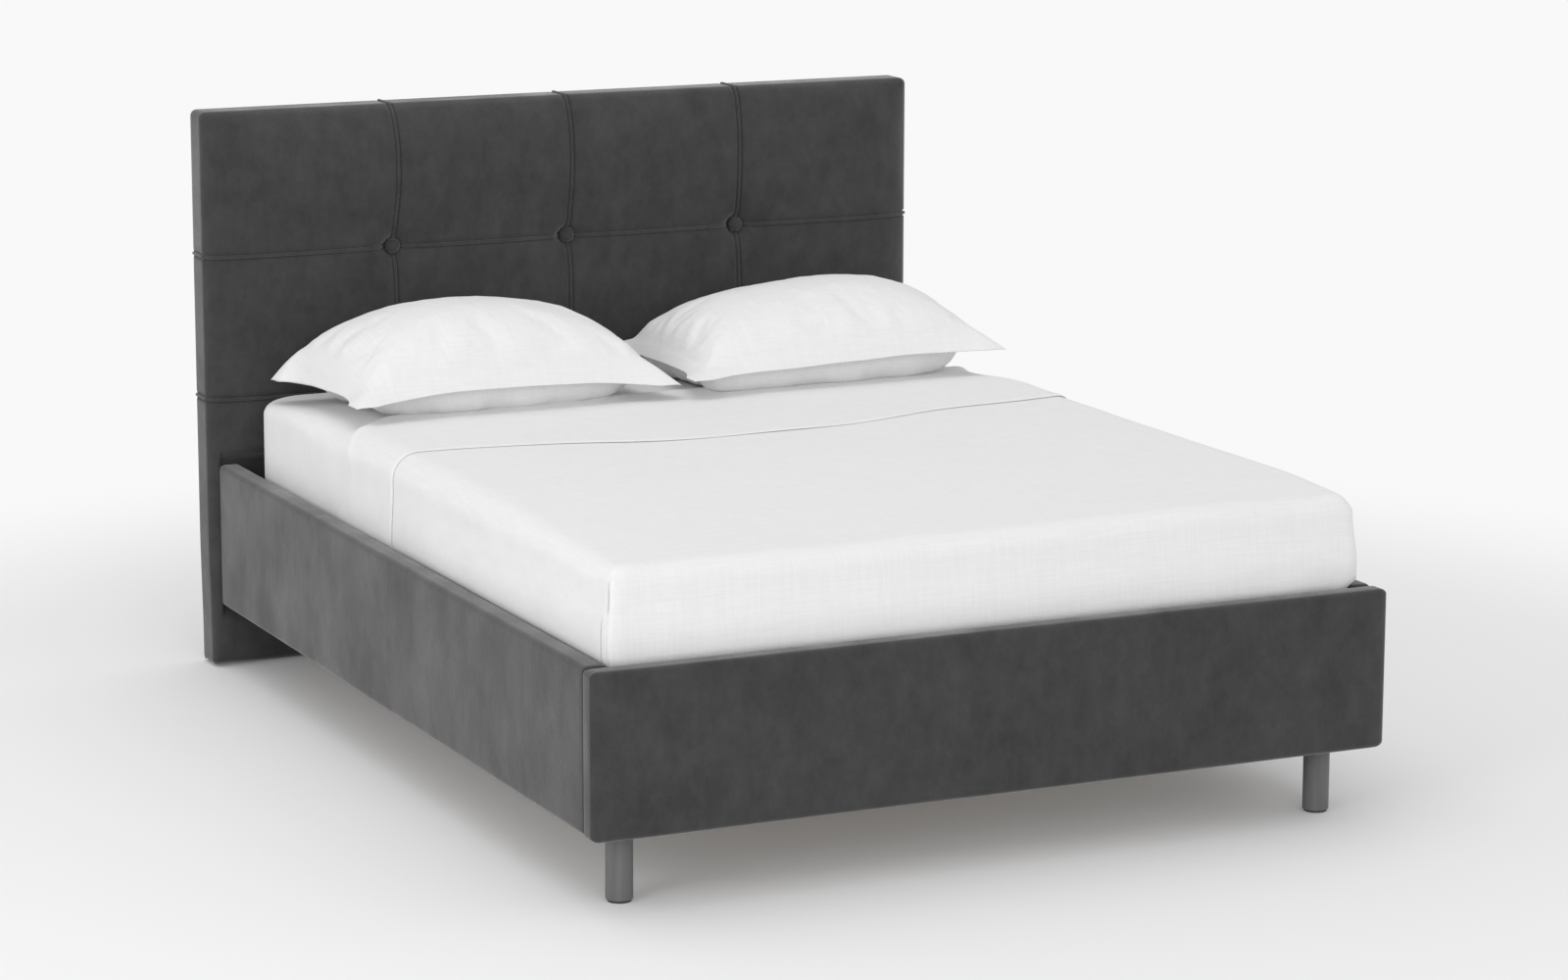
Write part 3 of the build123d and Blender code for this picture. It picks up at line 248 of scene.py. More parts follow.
# Legs
# Two turned beech legs at the foot end and a slimmer one under the beam, painted matt grey.
# Each is held by a bolt through its bracket or the beam.
leg_paint, tree, shader = plain_finish("leg_paint", (0.135, 0.135, 0.137), 0.55)
brushing = grain(tree, 90.0, (1, 1, 0.08), 4.0)
brushed = shade_between(tree, brushing, (0.12, 0.12, 0.122), (0.15, 0.15, 0.152))
feed(shader, {"Base Color": brushed})
relief(shader, brushing, 0.0003)
paint_nodes(leg_paint, "front_leg_left", "front_leg_right", "centre_leg")

# Headboard padding
# Foam under charcoal velvet, sewn from panels with raised double seams and drawn in by three buttons.
# The cover wraps round the edges and is stapled behind.
VELVET_DARK, VELVET_LIGHT, SHEEN_TINT = (0.039, 0.039, 0.040), (0.063, 0.063, 0.064), (0.62, 0.62, 0.63, 1)
SHEEN_LOW, SHEEN_HIGH = [0.56] * 3, [1.02] * 3
velvet, tree, shader = plain_finish("velvet", (0.051, 0.051, 0.052), 0.9)
feed(shader, {"Specular IOR Level": 0.12, "Sheen Roughness": 0.42, "Sheen Tint": SHEEN_TINT})
nap = grain(tree, 20.0, (1, 1, 0.7), 9.0, 0.72)
strokes = shade_between(tree, grain(tree, 8.0, (1, 1, 0.7), 8.0), SHEEN_LOW, SHEEN_HIGH)
pile = shade_between(tree, nap, VELVET_DARK, VELVET_LIGHT)
feed(shader, {"Base Color": pile, "Sheen Weight": strokes})
brushed = relief(shader, grain(tree, 13.0, (1, 1, 0.8), 7.0), 0.0013)
relief(shader, grain(tree, 420.0, (1, 1, 0.7), 2.0), 0.0007, brushed)


def rounded_steps(low, high, radius, step, extra=()):
    """Places along a rounded block's side: close together in the roundings, even between, and the extra."""
    arc = [radius * (1 - math.tan(math.radians(angle))) for angle in (45, 34, 23, 11, 0)]
    count = max(2, round((high - low - 2 * radius) / step))
    even = [low + radius + (high - low - 2 * radius) * part / count for part in range(1, count)]
    even = [place for place in even if all(abs(place - other) > 0.4 * step for other in extra)]
    return sorted([low + a for a in arc] + even + list(extra) + [high - a for a in arc])


def grid_quads(index):
    """The faces of a grid, from the numbers of its points."""
    return np.stack((index[:-1, :-1], index[1:, :-1], index[1:, 1:], index[:-1, 1:]), axis=-1).reshape(-1, 4)


def patch_mesh(name, patches):
    """One mesh from grids of points that meet at their edges."""
    vertices, faces, start = [], [], 0
    for patch in patches:
        rows, columns = patch.shape[:2]
        vertices.append(patch.reshape(-1, 3))
        faces.append(grid_quads(start + np.arange(rows * columns).reshape(rows, columns)))
        start += rows * columns
    mesh = bpy.data.meshes.new(name)
    mesh.from_pydata(np.concatenate(vertices).tolist(), [], np.concatenate(faces).tolist())
    shape = bmesh.new()
    shape.from_mesh(mesh)
    bmesh.ops.remove_doubles(shape, verts=shape.verts, dist=2e-5)
    bmesh.ops.dissolve_degenerate(shape, edges=shape.edges, dist=1e-6)
    bmesh.ops.recalc_face_normals(shape, faces=shape.faces)
    shape.to_mesh(mesh)
    shape.free()
    return mesh


def points_of(mesh):
    """The places of a mesh's points."""
    points = np.empty(len(mesh.vertices) * 3)
    mesh.vertices.foreach_get("co", points)
    return points.reshape(-1, 3)


def block_mesh(name, low, high, radius, step, extra=((), (), ())):
    """A finely divided block with rounded edges: its mesh, and the points and normals to swell it by."""
    places = [rounded_steps(low[axis], high[axis], radius, step, extra[axis]) for axis in range(3)]
    patches = []
    for axis in range(3):
        for end in (low[axis], high[axis]):
            sides = [[end] if other == axis else places[other] for other in range(3)]
            patches.append(np.stack(np.meshgrid(*sides, indexing="ij"), axis=-1).squeeze(axis))
    mesh = patch_mesh(name, patches)
    points = points_of(mesh)
    inner = np.clip(points, np.array(low) + radius, np.array(high) - radius)
    normals = points - inner
    normals /= np.linalg.norm(normals, axis=1)[:, None]
    return mesh, inner + radius * normals, normals


def to_square(normals):
    """The way from each point of a rounding to the square edge, for a rounding of 1."""
    return normals / np.abs(normals).max(axis=1)[:, None] - normals


def shown_piece(mesh, material):
    """The finished object of a mesh, smooth and of one material."""
    mesh.materials.append(material)
    mesh.polygons.foreach_set("use_smooth", [True] * len(mesh.polygons))
    mesh.update()
    piece = bpy.data.objects.new(mesh.name, mesh)
    scene.collection.objects.link(piece)
    return piece


WAVE_COUNT, WAVE_SHARE = 14, 6.0


def soft_noise(points, scale, seed):
    """Smooth waves, mostly between -1 and 1, the same on every run."""
    draw = np.random.default_rng(seed)
    total = np.zeros(len(points))
    for _ in range(WAVE_COUNT):
        heading = draw.normal(size=3)
        heading /= np.linalg.norm(heading)
        pitch = 2 * math.pi / (scale * draw.uniform(0.7, 1.6))
        total += np.sin(points @ heading * pitch + draw.uniform(0, 2 * math.pi))
    return total / WAVE_SHARE


def smooth(value):
    """0 below 0, 1 above 1, and an even curve between."""
    value = np.clip(value, 0, 1)
    return value * value * (3 - 2 * value)


cover_low, cover_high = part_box("headboard_cover")
button_low, button_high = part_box("headboard_buttons")
HALF_WIDTH, HEADBOARD_TOP = cover_high.x, 1.195
rail_low, rail_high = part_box("left_rail_cover")
FRONT_PLANE, RAIL_TOP, RAIL_BOTTOM, RAIL_OUTSIDE = rail_high.y, rail_high.z, rail_low.z, -rail_low.x
BUTTON_ROW, ROW_HEIGHT = (button_low.z + button_high.z) / 2 + 0.002, 0.3055
SEAM_SPACING = 0.405
SEAM_COLUMNS = (-SEAM_SPACING, 0.0, SEAM_SPACING)
SEAM_ROWS = (BUTTON_ROW - ROW_HEIGHT, BUTTON_ROW)
SEAM_HALF = (0.0011, 0.0023, 0.0034, 0.0046, 0.0058, 0.0073, 0.0115, 0.019)
SEAM_STEPS = [way * step for way in (-1, 1) for step in SEAM_HALF]
RIM_STEPS = (0.0145, 0.0185, 0.0235)
EDGE_ROUNDING, PADDING_STEP = 0.011, 0.0085
TOP_CREST, LOW_CREST, TOP_LEAN, TOP_FROM, TOP_RUN = 0.036, 0.023, 0.011, 0.03, 0.13
RIM_WIDTH, RIM_POWER, RIM_ROLL, ROLL_RUN = 0.15, 2.6, 0.010, 0.013
TOP_SWELL, LEFT_SWELL, RIGHT_SWELL, SWELL_FROM, SWELL_RUN = 0.003, 0.003, 0.0065, 0.05, 0.25
WELT_RISE, WELT_HALF, WELT_FALL, WELT_REACH = 0.0028, 0.0016, 0.0026, 0.0115
WELT_HOLLOW, HOLLOW_PLACE, HOLLOW_HALF, SEAM_CLEAR = 0.0042, 0.0048, 0.0017, 0.012
TUFT_PULLS = ((0.013, 0.006), (0.010, 0.022), (0.007, 0.07))
CREASE_DEPTH, CREASE_RUN, SLACK_WAVES = 0.0045, 0.03, 0.0012
RAIL_RUN, RAIL_SIDE_RUN = 0.035, 0.008
BUTTON_RADIUS, PIT_SHIFT, BACK_INSET = 0.016, 0.004, 0.0007
headboard_low = (cover_low.x, FRONT_PLANE, cover_low.z)
headboard_high = (cover_high.x, cover_high.y, HEADBOARD_TOP)
step_x = [column + step for column in SEAM_COLUMNS for step in SEAM_STEPS]
step_x += [way * (HALF_WIDTH - step) for way in (-1, 1) for step in RIM_STEPS]
step_z = [row + step for row in SEAM_ROWS for step in SEAM_STEPS]
step_z += [HEADBOARD_TOP - step for step in RIM_STEPS]
mesh, points, normals = block_mesh(
    "headboard_upholstery", headboard_low, headboard_high, EDGE_ROUNDING, PADDING_STEP, (step_x, (), step_z)
)
x, y, z = points.T


def rise(distance):
    """How the padding rises from an edge: quickly at first, then flatter."""
    return 1 - (1 - np.clip(distance / RIM_WIDTH, 0, 1)) ** RIM_POWER


def welt(distance):
    """A raised seam about 7 mm wide with a stitched hollow on each side."""
    raised = WELT_RISE * (1 - smooth((distance - WELT_HALF) / WELT_FALL))
    hollow = WELT_HOLLOW * np.exp(-(((distance - HOLLOW_PLACE) / HOLLOW_HALF) ** 2))
    return np.where(distance < WELT_REACH, raised - hollow, 0)


to_edges = [x - headboard_low[0], headboard_high[0] - x, HEADBOARD_TOP - z, z - cover_low.z]
rim = math.prod(rise(distance) for distance in to_edges)
to_rim = np.min(to_edges, axis=0)
roll = RIM_ROLL * (1 - np.exp(-np.maximum(to_rim, 0) / ROLL_RUN))
top_row = smooth((z - BUTTON_ROW - TOP_FROM) / TOP_RUN)
crest = LOW_CREST + (TOP_CREST - LOW_CREST - TOP_LEAN * np.sin(math.pi * x / HALF_WIDTH)) * top_row
to_column = np.min([np.abs(x - column) for column in SEAM_COLUMNS], axis=0)
to_row = np.min([np.abs(z - row) for row in SEAM_ROWS], axis=0)
to_button = np.min([np.hypot(x - column + PIT_SHIFT, z - BUTTON_ROW) for column in SEAM_COLUMNS], axis=0)
beyond = np.maximum(to_button - BUTTON_RADIUS, 0)
tuft = sum(depth * np.exp(-beyond / run) for depth, run in TUFT_PULLS)
crease = CREASE_DEPTH * np.exp(-to_column / CREASE_RUN) + CREASE_DEPTH * np.exp(-to_row / CREASE_RUN)
forward = roll + crest * rim - tuft - crease * rim + SLACK_WAVES * soft_noise(points, 0.28, 3) * rim
past_rail = smooth((z - RAIL_TOP) / RAIL_RUN) + smooth((RAIL_BOTTOM - z) / RAIL_RUN)
beside_rail = smooth((np.abs(x) - RAIL_OUTSIDE) / RAIL_SIDE_RUN + 1)
forward *= np.maximum(past_rail, beside_rail)
seams = welt(to_column) * (np.abs(normals[:, 0]) < 0.7)
seams = np.where(to_row < to_column, welt(to_row) * (np.abs(normals[:, 2]) < 0.7), seams)
seams *= smooth((to_button - SEAM_CLEAR) / SEAM_CLEAR) * (normals[:, 1] < 0.5) * (normals[:, 2] > -0.3)
swelled = points + normals * seams[:, None]
side_swell = np.where(x < 0, LEFT_SWELL, RIGHT_SWELL)
swelled[:, 0] += side_swell * normals[:, 0] * smooth((z - SWELL_FROM) / SWELL_RUN)
swelled[:, 1] -= forward * np.clip(-normals[:, 1], 0, 1) + BACK_INSET * np.clip(normals[:, 1], 0, 1)
swelled[:, 2] += TOP_SWELL * np.clip(normals[:, 2], 0, 1)
square = to_square(normals)
square[:, 0] = 0
under_back = np.clip(3 * normals[:, 1], 0, 1) * np.clip(-3 * normals[:, 2], 0, 1)
swelled += EDGE_ROUNDING * square * under_back[:, None]
mesh.vertices.foreach_set("co", swelled.ravel())
headboard = shown_piece(mesh, velvet)
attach(headboard, "frame")
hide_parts("headboard_cover", "headboard_foam")

# Buttons
# Three domed buttons covered with the same velvet, pulled into the padding by twine through the board.
# The cover is gathered over the shell, so its edge shows small tucks.
BUTTON_PROFILE = ((0.0, 0.0105), (0.005, 0.0102), (0.009, 0.0089), (0.0125, 0.0066), (0.0152, 0.0035))
BUTTON_PROFILE += ((0.016, 0.0012), (0.0158, -0.001), (0.0145, -0.0025), (0.0, -0.003))
BUTTON_TUCKS, TUCK_DEPTH, BUTTON_AROUND, BUTTON_PLACE = 18, 0.035, 36, FRONT_PLANE - 0.006


def small_shape(shape, name):
    """The object of a finished small shape, to be repeated."""
    mesh = bpy.data.meshes.new(name)
    shape.to_mesh(mesh)
    shape.free()
    return bpy.data.objects.new(name, mesh)


shape = bmesh.new()
rings = []
for radius, height in BUTTON_PROFILE:
    if radius == 0:
        rings.append([shape.verts.new((0, -height, 0))])
        continue
    ring = []
    for count in range(BUTTON_AROUND):
        angle = 2 * math.pi * count / BUTTON_AROUND
        tuck = 1 + TUCK_DEPTH * smooth((radius - 0.009) / 0.006) * math.cos(BUTTON_TUCKS * angle)
        tucked = radius * tuck
        ring.append(shape.verts.new((tucked * math.cos(angle), -height, tucked * math.sin(angle))))
    rings.append(ring)
for inner, outer in zip(rings, rings[1:]):
    for count in range(BUTTON_AROUND):
        following = (count + 1) % BUTTON_AROUND
        loop = [inner[0]] if len(inner) == 1 else [inner[count], inner[following]]
        loop += [outer[0]] if len(outer) == 1 else [outer[following], outer[count]]
        shape.faces.new(loop)
bmesh.ops.recalc_face_normals(shape, faces=shape.faces)
for face in shape.faces:
    face.smooth = True
button_shape = small_shape(shape, "button_shape")


def repeat_tree(name, material):
    """Geometry Nodes that set a copy of one small shape on every point, turned as the point says."""
    tree = bpy.data.node_groups.new(name, "GeometryNodeTree")
    for way, label, kind in (
        ("INPUT", "Geometry", "Geometry"),
        ("INPUT", "Shape", "Object"),
        ("INPUT", "Size", "Float"),
        ("OUTPUT", "Geometry", "Geometry"),
    ):
        tree.interface.new_socket(label, in_out=way, socket_type="NodeSocket" + kind)
    given = node(tree, "NodeGroupInput").outputs
    shape = node(tree, "GeometryNodeObjectInfo", {"Object": given["Shape"]}).outputs["Geometry"]
    turn = node(tree, "GeometryNodeInputNamedAttribute", {"Name": "turn"}, data_type="FLOAT_VECTOR")
    inputs = {"Points": given["Geometry"], "Instance": shape, "Scale": given["Size"]}
    inputs["Rotation"] = turn.outputs["Attribute"]
    copies = node(tree, "GeometryNodeInstanceOnPoints", inputs).outputs["Instances"]
    real = node(tree, "GeometryNodeRealizeInstances", {"Geometry": copies}).outputs["Geometry"]
    paint = node(tree, "GeometryNodeSetMaterial", {"Geometry": real, "Material": material})
    node(tree, "NodeGroupOutput", {"Geometry": paint.outputs["Geometry"]})
    return tree


def repeated(name, places, turns, shape, material, size=1.0):
    """A piece made of one small shape at every place, as a plain mesh."""
    points = bpy.data.meshes.new(name + "_places")
    points.from_pydata([tuple(place) for place in places], [], [])
    turning = points.attributes.new("turn", "FLOAT_VECTOR", "POINT")
    turning.data.foreach_set("vector", np.array(turns, dtype=np.float32).ravel())
    carrier = bpy.data.objects.new(name + "_carrier", points)
    scene.collection.objects.link(carrier)
    tree = repeat_tree(name, material)
    modifier = carrier.modifiers.new("repeat", "NODES")
    modifier.node_group = tree
    sockets = {item.name: item.identifier for item in tree.interface.items_tree if item.in_out == "INPUT"}
    modifier[sockets["Shape"]] = shape
    modifier[sockets["Size"]] = size
    mesh = bpy.data.meshes.new_from_object(carrier.evaluated_get(bpy.context.evaluated_depsgraph_get()))
    mesh.name = name
    bpy.data.objects.remove(carrier)
    piece = bpy.data.objects.new(name, mesh)
    scene.collection.objects.link(piece)
    return piece


button_places = [(column, BUTTON_PLACE, BUTTON_ROW) for column in SEAM_COLUMNS]
buttons = repeated("headboard_covered_buttons", button_places, [(0, 0, 0)] * 3, button_shape, velvet)
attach(buttons, "frame")
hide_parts("headboard_buttons")

# Back cloth
# A black spun-bonded sheet closes the back of the headboard. It is pulled flat and stapled all round.
back_black, tree, shader = plain_finish("spun_cloth", (0.022, 0.022, 0.024), 0.95)
fibres = grain(tree, 350.0, (1, 1, 1), 4.0)
spun = shade_between(tree, fibres, (0.016, 0.016, 0.018), (0.034, 0.034, 0.036))
feed(shader, {"Base Color": spun})
relief(shader, fibres, 0.0004)
back_low, back_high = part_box("headboard_back_cloth")
BACK_STEP, BACK_CLOTH_T, BACK_BEHIND, BACK_WAVES, BACK_TAUT = 0.024, 0.0005, 0.0002, 0.0003, 0.06


def cloth_piece(name, patches, facing, material, thickness):
    """The finished object of an open sheet that faces along an axis, with its cloth's thickness."""
    mesh = patch_mesh(name, patches)
    if sum(face.normal[facing] * face.area for face in mesh.polygons) < 0:
        mesh.flip_normals()
    piece = shown_piece(mesh, material)
    wall = piece.modifiers.new("thickness", "SOLIDIFY")
    wall.thickness = thickness
    wall.offset = -1.0
    return piece


across = np.linspace(back_low.x, back_high.x, round((back_high.x - back_low.x) / BACK_STEP))
upward = np.linspace(back_low.z, back_high.z, round((back_high.z - back_low.z) / BACK_STEP))
grid_x, grid_z = np.meshgrid(across, upward)
flat = np.stack((grid_x, np.zeros_like(grid_x), grid_z), axis=-1)
pull = soft_noise(flat.reshape(-1, 3), 0.22, 8).reshape(grid_x.shape)
edges = (grid_x - back_low.x, back_high.x - grid_x, grid_z - back_low.z, back_high.z - grid_z)
slack = np.clip(1 + pull, 0, 2) * smooth(np.min(edges, axis=0) / BACK_TAUT)
grid_y = back_high.y - BACK_BEHIND - BACK_WAVES * slack
patches = [np.stack((grid_x, grid_y, grid_z), axis=-1)]
back_sheet = cloth_piece("headboard_back_sheet", patches, 1, back_black, BACK_CLOTH_T)
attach(back_sheet, "frame")
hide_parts("headboard_back_cloth")

STAPLE_SIZE, STAPLE_EDGE = (0.0105, 0.0007, 0.0011, 1), 0.00025
STAPLE_PITCH, STAPLE_INSET, STAPLE_END = 0.055, 0.009, 0.03
shape = bmesh.new()
bmesh.ops.create_cube(shape, size=1.0, matrix=Matrix.Diagonal(STAPLE_SIZE))
bmesh.ops.bevel(shape, geom=shape.edges, offset=STAPLE_EDGE, segments=1, affect="EDGES", profile=0.5)
staple_shape = small_shape(shape, "staple_shape")
staple_places, staple_turns = [], []
for low, high, level, upright in (
    (back_low.x, back_high.x, back_low.z + STAPLE_INSET, False),
    (back_low.x, back_high.x, back_high.z - STAPLE_INSET, False),
    (back_low.z, back_high.z, back_low.x + STAPLE_INSET, True),
    (back_low.z, back_high.z, back_high.x - STAPLE_INSET, True),
):
    for run in np.arange(low + STAPLE_END, high - STAPLE_END, STAPLE_PITCH):
        staple_places.append((level, back_high.y, run) if upright else (run, back_high.y, level))
        staple_turns.append((0, math.pi / 2 if upright else 0, 0))
staples = repeated("back_sheet_staples", staple_places, staple_turns, staple_shape, zinc_plate)
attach(staples, "frame")

# Side rails and foot panel
# Boards wrapped in thin foam and the same velvet, with rounded edges; the rails butt against the headboard
# and the foot panel closes their other ends, so a narrow joint shows at each corner.
PANEL_ROUNDING, PANEL_STEP = 0.013, 0.016
PANEL_CROWN, CROWN_RUN, PANEL_WAVES, WAVES_RUN, PANEL_SLACK = 0.0016, 0.09, 0.0008, 0.03, 0.0012
END_SWELL, END_FALL, END_RUN, JOINT_SQUARE = 0.006, 0.004, 0.03, 0.6
for name in ("left_rail", "right_rail", "foot_panel"):
    low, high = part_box(name + "_cover")
    mesh, points, normals = block_mesh(name + "_upholstery", low, high, PANEL_ROUNDING, PANEL_STEP)
    inset = np.minimum(points - np.array(low), np.array(high) - points)
    middle = np.sort(inset, axis=1)[:, 1]
    crown = PANEL_CROWN * smooth(middle / CROWN_RUN) - PANEL_SLACK
    crown += PANEL_WAVES * soft_noise(points, 0.3, 5) * smooth(middle / WAVES_RUN)
    swelled = points + normals * crown[:, None]
    if name == "foot_panel":
        swelled[:, 0] += END_SWELL * normals[:, 0]
        to_end = 1 - smooth(inset[:, 0] / END_RUN)
        swelled[:, 1] += END_FALL * to_end * np.clip(-normals[:, 1], 0, 1)
        square = to_square(normals)
        at_joint = np.clip(3 * normals[:, 1], 0, 1) * (1 - np.abs(normals[:, 2]))
        swelled += JOINT_SQUARE * PANEL_ROUNDING * square * at_joint[:, None]
    mesh.vertices.foreach_set("co", swelled.ravel())
    panel = shown_piece(mesh, velvet)
    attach(panel, "frame")
    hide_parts(name + "_cover", name + "_foam")

# Mattress
# A foam-cored mattress in white quilted ticking, which lies loose on the slats, inside the rails.
# It stands a little fuller on the right and lower towards the foot, as it does when it is made up.
ticking, tree, shader = plain_finish("ticking", (0.76, 0.75, 0.72), 0.85)
place = node(tree, "ShaderNodeTexCoord").outputs["Object"]
quilt_turn = {"Vector": place, "Rotation": (0, 0, math.radians(45))}
turned = node(tree, "ShaderNodeMapping", quilt_turn).outputs["Vector"]
quilt = {"Vector": turned, "Scale": 11.0, "Randomness": 0.0}
quilting = node(tree, "ShaderNodeTexVoronoi", quilt, feature="DISTANCE_TO_EDGE")
puffs = relief(shader, quilting.outputs["Distance"], 0.012)
relief(shader, grain(tree, 700.0, (1, 1, 1), 2.0), 0.0004, puffs)
core_low, core_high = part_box("mattress_cover")
EDGE_RADIUS, LEFT_SOFTER, HEAD_EDGE, CORE_INSET = 0.035, 0.013, 0.022, 0.15
CORNER_RADIUS = {-1: 0.018, 1: 0.137}
CORE_X = core_high.x - CORE_INSET
CORE_FOOT, CORE_HEAD = core_low.y + CORE_INSET, core_high.y - CORE_INSET
MATTRESS_TOP = core_high.z
ARC_RUN = EDGE_RADIUS * math.pi / 2
FITTED_LIFT, TUCKED_LIFT, CORNER_PUFF = 0.0013, 0.0052, 0.013
MIDDLE_FULL, RIGHT_FULL, LEFT_FULL, CORNER_FALL = 0.003, 0.014, 0.008, 0.012
FOOT_DROOP, LEFT_DROOP, HEAD_DROOP = 0.004, 0.008, 0.02
SIDE_BULGE, BULGE_RUN, BULGE_FROM = 0.010, 0.09, 0.3
TUCK_RUN, TUCK_ABOVE, PUFF_RUN = 0.018, 0.004, 0.009
FLAT_POINTS, ARC_POINTS, CORNER_POINTS = 7, 8, 13


def crown_height(x, y):
    """How much the made-up mattress stands above its plain box, from the pillows to the foot."""
    along = smooth((0.52 - y) / 0.30)
    right = RIGHT_FULL * np.clip((x + 0.2) / 0.9, 0, 1.1) ** 2
    left = LEFT_FULL * smooth((-0.2 - x) / 0.42)
    droop = smooth((-0.3 - y) / 0.65) * (FOOT_DROOP + LEFT_DROOP * smooth((-0.1 - x) / 0.5))
    corner = CORNER_FALL * smooth((x - 0.4) / 0.32) * np.clip((-0.8 - y) / 0.22, 0, 1) ** 1.6
    return along * (MIDDLE_FULL + right + left - droop) - corner - HEAD_DROOP * smooth((y - 0.55) / 0.38)


def outline_reach(angle, end):
    """How far the mattress's outline is from the core's corner, in a direction between 0 and 90 degrees."""
    radius = CORNER_RADIUS[end]
    centre = CORE_INSET - radius
    along = centre * (math.cos(angle) + math.sin(angle))
    arc = along + math.sqrt(max(along**2 - 2 * centre**2 + radius**2, 0))
    straight = CORE_INSET / max(math.cos(angle), math.sin(angle))
    on_arc = min(arc * math.cos(angle), arc * math.sin(angle)) >= centre - 1e-9
    return arc if on_arc else straight


def edge_radius(core_y, way_x):
    """The edge's rounding: softer along the left side and sharper at the head."""
    softer = LEFT_SOFTER * np.maximum(-np.asarray(way_x), 0) * smooth((core_y + 0.8) / 0.4)
    return EDGE_RADIUS + softer + (HEAD_EDGE - EDGE_RADIUS - softer) * smooth((core_y - 0.45) / 0.3)


def laid(core_x, core_y, way_x, way_y, reach, run, lift):
    """Cloth laid over the mattress: it runs out flat from a core point, rolls over the edge and goes down.

    Loose cloth hangs a little full on the side and is tucked in tight below the rail's top.
    """
    radius = edge_radius(core_y, way_x)
    flat_run = reach - EDGE_RADIUS
    turn = np.clip((run - flat_run) / ARC_RUN, 0, 1) * math.pi / 2
    straight = np.maximum(run - flat_run - ARC_RUN, 0)
    down = straight + (EDGE_RADIUS - radius) * smooth(straight / 0.03)
    below_rail = RAIL_TOP - (MATTRESS_TOP - radius - down)
    tucked = smooth((below_rail + TUCK_ABOVE) / TUCK_RUN)
    loose = smooth(lift / FITTED_LIFT) * (1 - tucked)
    thick = radius + lift - np.maximum(lift - TUCKED_LIFT, 0) * tucked
    loose = loose * smooth((BULGE_FROM - core_y) / 0.6)
    rolled = reach - radius + thick * np.sin(turn) + SIDE_BULGE * loose * smooth(down / BULGE_RUN)
    out = np.where(run > flat_run, rolled, run * (reach - radius) / flat_run)
    x = core_x + way_x * out
    y = core_y + way_y * out
    puff = CORNER_PUFF * smooth((x - 0.55) / 0.2) * smooth((-0.35 - y) / 0.5)
    x = x + puff * (1 - smooth((below_rail + PUFF_RUN) / PUFF_RUN))
    z = MATTRESS_TOP - radius + thick * np.cos(turn) - down
    z = z + crown_height(x, y) * smooth((z - (MATTRESS_TOP - 0.19)) / 0.16)
    return np.stack((x, y, z), axis=-1)


def runs_to(reach, bottom, drop_step):
    """Distances along the cloth from the core, over the edge, down to the bottom height."""
    flat_run = reach - EDGE_RADIUS
    drop = MATTRESS_TOP - EDGE_RADIUS - bottom
    return np.concatenate((
        np.linspace(0, flat_run, FLAT_POINTS)[:-1],
        flat_run + np.linspace(0, ARC_RUN, ARC_POINTS)[:-1],
        flat_run + ARC_RUN + np.linspace(0, drop, max(2, round(drop / drop_step)) + 1),
    ))


def crossing(bottom, step, drop_step):
    """Core place, direction and run of the points across the bed, from one side's bottom to the other's."""
    side = runs_to(CORE_INSET, bottom, drop_step)
    core = np.linspace(-CORE_X, CORE_X, round(2 * CORE_X / step) + 1)
    core_x = np.concatenate((np.full(len(side), -CORE_X), core[1:-1], np.full(len(side), CORE_X)))
    way = np.concatenate((np.full(len(side), -1.0), np.zeros(len(core) - 2), np.ones(len(side))))
    run = np.concatenate((side[::-1], np.zeros(len(core) - 2), side))
    return core_x, way, run


def end_patches(end, bottom, step, drop_step, lift, angles):
    """The part of the cloth over one end of the mattress: the end itself and its two corners."""
    core_y = CORE_FOOT if end < 0 else CORE_HEAD
    core = np.linspace(-CORE_X, CORE_X, round(2 * CORE_X / step) + 1)
    run = runs_to(CORE_INSET, bottom, drop_step)
    grid_run, grid_x = np.meshgrid(run, core, indexing="ij")
    flat_y = core_y + end * grid_run
    patches = [laid(grid_x, core_y, 0, end, CORE_INSET, grid_run, lift(grid_x, flat_y))]
    for side in (-1, 1):
        rows = []
        for angle in angles:
            reach = outline_reach(angle, end)
            run = runs_to(reach, bottom, drop_step)
            way_x, way_y = side * math.cos(angle), end * math.sin(angle)
            raised = lift(side * CORE_X + way_x * run, core_y + way_y * run)
            rows.append(laid(side * CORE_X, core_y, way_x, way_y, reach, run, raised))
        patches.append(np.stack(rows))
    return patches


def length_patch(row_y, bottom, step, drop_step, lift):
    """The part of the cloth along the bed, with its rows at places that may change across the bed."""
    core_x, way, run = crossing(bottom, step, drop_step)
    flat_x = core_x + way * run
    rows = [laid(core_x, row(flat_x), way, 0, CORE_INSET, run, lift(flat_x, row(flat_x))) for row in row_y]
    return np.stack(rows)


def whole_cover(row_step, *laying):
    """Cloth over the whole mattress: both ends, and straight rows between them."""
    angles = np.linspace(0, math.pi / 2, CORNER_POINTS)
    places = np.linspace(CORE_FOOT, CORE_HEAD, round((CORE_HEAD - CORE_FOOT) / row_step) + 1)
    rows = [lambda flat_x, place=place: np.full_like(flat_x, place) for place in places]
    return end_patches(-1, *laying, angles) + end_patches(1, *laying, angles) + [length_patch(rows, *laying)]


def no_lift(flat_x, flat_y):
    """Cloth that lies on the mattress itself."""
    return np.zeros_like(flat_x)


